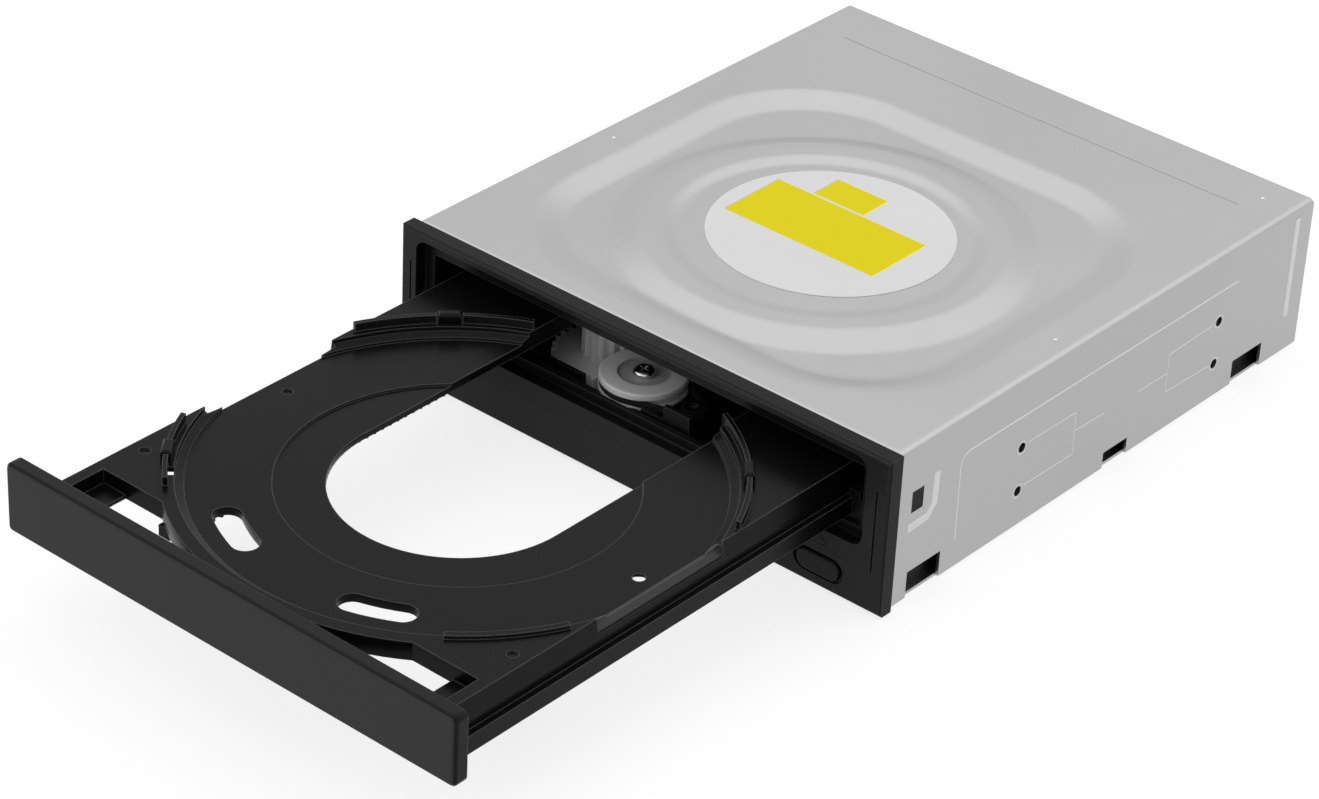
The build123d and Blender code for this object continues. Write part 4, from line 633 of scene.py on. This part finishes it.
def edge_places(low, high, low_round, high_round, fine=()):
    """Places along one side with their drops: close together on rounded ends and near fine places."""
    places = set()
    count = round((high - low) / lid_step)
    for i in range(count + 1):
        place = low + (high - low) * i / count
        if low + low_round < place < high - high_round:
            places.add(round(place, place_digits))
    for i in range(round_steps + 1):
        turn = math.pi / 2 * i / round_steps
        places.add(round(low + low_round * (1 - math.cos(turn)), place_digits))
        places.add(round(high - high_round * (1 - math.cos(turn)), place_digits))
    for middle in fine:
        for i in range(-fine_steps, fine_steps + 1):
            places.add(round(middle + i * fine_step, place_digits))
    result = []
    for place in sorted(places):
        drop = 0.0
        for inside, radius in ((place - low, low_round), (high - place, high_round)):
            if inside < radius:
                drop = radius - math.sqrt(max(0.0, radius ** 2 - (radius - inside) ** 2))
        result.append((place, drop))
    return result


def make_cover_lid():
    """Pressed top of the cover, with its edges rounded over."""
    bm = bmesh.new()
    columns = edge_places(-body_half_width, body_half_width, cover_round, cover_round)
    rows = edge_places(body_front, body_depth, front_round, cover_round, fine=(crease_y - crease_rows_shift,))
    grid = []
    for y, end_drop in rows:
        line = []
        for x, side_drop in columns:
            drop = min(cover_round, side_drop + end_drop)
            line.append(bm.verts.new((x, y, cover_height(x, y) - drop)))
        grid.append(line)
    for low, high in zip(grid, grid[1:]):
        for a, b, c, d in zip(low, low[1:], high[1:], high):
            bm.faces.new((a, b, c, d))
    return add_piece("cover_lid", bm, cover_steel, "body")


def make_cover_walls():
    """Sides, rear and inner faces of the cover, taken from the node without its upper skin."""
    bm = bmesh.new()
    bm.from_mesh(nodes["top_cover"].data)
    skin_floor = (body_top - skin_reach) * mm
    upper = [face for face in bm.faces
             if face.normal.z > upward_lean and min(vertex.co.z for vertex in face.verts) > skin_floor]
    bmesh.ops.delete(bm, geom=upper, context="FACES")
    bmesh.ops.scale(bm, vec=(1 / mm, 1 / mm, 1 / mm), verts=bm.verts)
    return add_piece("cover_walls", bm, cover_steel, "body", smooth=False)


def side_bead(name, side, points, width, height):
    """Line pressed into one side of the cover: a narrow ridge along points given as (y, z)."""
    bm = bmesh.new()
    path = [Vector(point) for point in points]
    runs = [(after - before).normalized() for before, after in zip(path, path[1:])]
    crest = 0.5 - height / width
    rows = []
    for point, before, after in zip(path, runs[:1] + runs, runs + runs[-1:]):
        along = (after + before).normalized()
        across = Vector((-along.y, along.x))
        lean = across.dot(Vector((-after.y, after.x)))
        row = []
        for share, rise in ((-0.5, 0.0), (-crest, height), (crest, height), (0.5, 0.0)):
            spot = point + across * (share * width / lean)
            row.append(bm.verts.new((side * (body_half_width + rise - bead_sink), spot.x, spot.y)))
        rows.append(row)
    for low, high in zip(rows, rows[1:]):
        for a, b, c, d in zip(low, low[1:], high[1:], high):
            bm.faces.new((a, b, c, d))
    for row in (rows[0], rows[-1]):
        bm.faces.new(row)
    return add_piece(name, bm, highlight_steel, "body", smooth=False)


def rounded_corner(before, corner, after, radius, steps=5):
    """Points of a corner taken as an arc."""
    corner = Vector(corner)
    into = (Vector(before) - corner).normalized() * radius
    out = (Vector(after) - corner).normalized() * radius
    return [tuple(corner + into * (1 - i / steps) ** 2 + out * (i / steps) ** 2) for i in range(steps + 1)]


def make_hole_rims(side):
    """Drawn rims round the four screw holes of one side."""
    bm = bmesh.new()
    for y in side_hole_y:
        for z in side_hole_z:
            rings = []
            for radius, height in rim_profile:
                ring = []
                for i in range(rim_segments):
                    turn = 2 * math.pi * i / rim_segments
                    ring.append(bm.verts.new((side * (body_half_width + height), y + radius * math.cos(turn),
                                              z + radius * math.sin(turn))))
                rings.append(ring)
            for outer, inner in zip(rings, rings[1:]):
                for i in range(rim_segments):
                    j = (i + 1) % rim_segments
                    bm.faces.new((outer[i], outer[j], inner[j], inner[i]))
    return add_piece("hole_rims_right" if side > 0 else "hole_rims_left", bm, highlight_steel, "body")


def make_cover_dots():
    """Small weld marks on top of the cover."""
    bm = bmesh.new()
    for x, y in dot_spots:
        bmesh.ops.create_uvsphere(bm, u_segments=dot_segments, v_segments=dot_rings, radius=1.0)
        new = [vertex for vertex in bm.verts if vertex.tag is False]
        bmesh.ops.scale(bm, vec=(dot_radius, dot_radius, dot_height), verts=new)
        bmesh.ops.translate(bm, vec=(x, y, body_top), verts=new)
        for vertex in new:
            vertex.tag = True
    return add_piece("cover_dots", bm, bright_steel, "body")


def make_eject_mark():
    """Raised eject sign over the button: a triangle above a bar."""
    bm = bmesh.new()
    x, z = mark_spot
    left, right = x - mark_half, x + mark_half
    bar_low, bar_high = (z - drop for drop in mark_bar)
    outlines = (((left, z), (right, z), (x, z + mark_half)),
                ((left, bar_low), (right, bar_low), (right, bar_high), (left, bar_high)))
    for outline in outlines:
        front = [bm.verts.new((a, bezel_front - mark_rise, b)) for a, b in outline]
        back = [bm.verts.new((a, bezel_front + mark_sink, b)) for a, b in outline]
        bm.faces.new(front)
        bm.faces.new(back)
        for i in range(len(outline)):
            j = (i + 1) % len(outline)
            bm.faces.new((front[i], front[j], back[j], back[i]))
    return add_piece("eject_mark", bm, door_plastic, "body", smooth=False)


lid = make_cover_lid()
walls = make_cover_walls()
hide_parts("top_cover")
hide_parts("top_cover")
panel_corner = rounded_corner((23.7, 20.0), (23.7, 30.6), (40.0, 30.6), panel_corner_radius)
side_lines = {
    "latch_relief": ([(5.2, 19.3), (12.3, 19.6), (14.7, 22.2), (14.9, 30.4)], latch_band),
    "side_panel_line": ([(23.9, 7.7)] + panel_corner + [(133.4, 30.4)], panel_line),
    "front_upper_line": ([(49.8, 22.3), (68.3, 22.0), (68.6, 10.4)], fine_line),
    "front_lower_line": ([(49.4, 10.6), (68.4, 10.4)], fine_line),
    "front_link_line": ([(68.8, 16.8), (80.3, 16.4)], fine_line),
    "rear_upper_line": ([(124.2, 21.8), (106.2, 21.4), (106.0, 10.8)], fine_line),
    "rear_lower_line": ([(124.6, 10.2), (106.1, 10.8)], fine_line),
    "rear_link_line": ([(93.8, 16.3), (105.8, 16.2)], fine_line),
    "rear_corner_bead": ([(157.5, 10.4), (157.5, 38.1)], corner_band),
}
for side, side_name in ((1, "right"), (-1, "left")):
    for line, (points, (width, height)) in side_lines.items():
        side_bead(f"{line}_{side_name}", side, points, width, height)
    rims = make_hole_rims(side)
dots = make_cover_dots()
eject_mark = make_eject_mark()


# Floor, light and background
def make_floor():
    """White floor that shows as plain white and keeps a soft shadow."""
    bm = bmesh.new()
    bmesh.ops.create_grid(bm, x_segments=1, y_segments=1, size=floor_half)
    mesh = bpy.data.meshes.new("studio_floor")
    bm.to_mesh(mesh)
    bm.free()
    floor = bpy.data.objects.new("studio_floor", mesh)
    bpy.context.scene.collection.objects.link(floor)
    floor.location.z = -floor_drop
    material = bpy.data.materials.new("white_floor")
    material.use_nodes = True
    tree = material.node_tree
    shader = tree.nodes["Principled BSDF"]
    shader.inputs["Base Color"].default_value = (*floor_tone, 1)
    shader.inputs["Roughness"].default_value = floor_roughness
    shader.inputs["Specular IOR Level"].default_value = floor_gloss
    glow = tree.nodes.new("ShaderNodeEmission")
    glow.inputs["Color"].default_value = (1, 1, 1, 1)
    seen = seen_directly(tree)
    strength = tree.nodes.new("ShaderNodeMath")
    strength.operation = "MULTIPLY"
    strength.inputs[1].default_value = floor_glow
    tree.links.new(seen, strength.inputs[0])
    tree.links.new(strength.outputs[0], glow.inputs["Strength"])
    both = tree.nodes.new("ShaderNodeAddShader")
    tree.links.new(shader.outputs[0], both.inputs[0])
    tree.links.new(glow.outputs[0], both.inputs[1])
    tree.links.new(both.outputs[0], tree.nodes["Material Output"].inputs["Surface"])
    mesh.materials.append(material)


def seen_directly(tree):
    """1 for what the camera, a mirror or glass looks at, and 0 for light that spreads."""
    path = tree.nodes.new("ShaderNodeLightPath")
    mirror = tree.nodes.new("ShaderNodeMath")
    mirror.operation = "MAXIMUM"
    tree.links.new(path.outputs["Is Camera Ray"], mirror.inputs[0])
    tree.links.new(path.outputs["Is Glossy Ray"], mirror.inputs[1])
    glass = tree.nodes.new("ShaderNodeMath")
    glass.operation = "MAXIMUM"
    tree.links.new(mirror.outputs[0], glass.inputs[0])
    tree.links.new(path.outputs["Is Transmission Ray"], glass.inputs[1])
    return glass.outputs[0]


def make_background():
    """Plain world: white where it is looked at, and soft even light otherwise."""
    world = bpy.data.worlds.new("studio")
    world.use_nodes = True
    bpy.context.scene.world = world
    tree = world.node_tree
    background = tree.nodes["Background"]
    background.inputs["Color"].default_value = (1, 1, 1, 1)
    strength = tree.nodes.new("ShaderNodeMapRange")
    strength.inputs["To Min"].default_value = world_light
    strength.inputs["To Max"].default_value = world_seen
    tree.links.new(seen_directly(tree), strength.inputs["Value"])
    tree.links.new(strength.outputs["Result"], background.inputs["Strength"])


def add_lamp(name, spot, aim, size, power):
    """Large soft lamp aimed at a point."""
    data = bpy.data.lights.new(name, "AREA")
    data.shape = "RECTANGLE"
    data.size, data.size_y = size
    data.energy = power
    lamp = bpy.data.objects.new(name, data)
    bpy.context.scene.collection.objects.link(lamp)
    lamp.location = spot
    lamp.rotation_mode = "QUATERNION"
    lamp.rotation_quaternion = (Vector(aim) - Vector(spot)).to_track_quat("-Z", "Y")


make_floor()
make_background()
for lamp in lamps:
    add_lamp(*lamp)
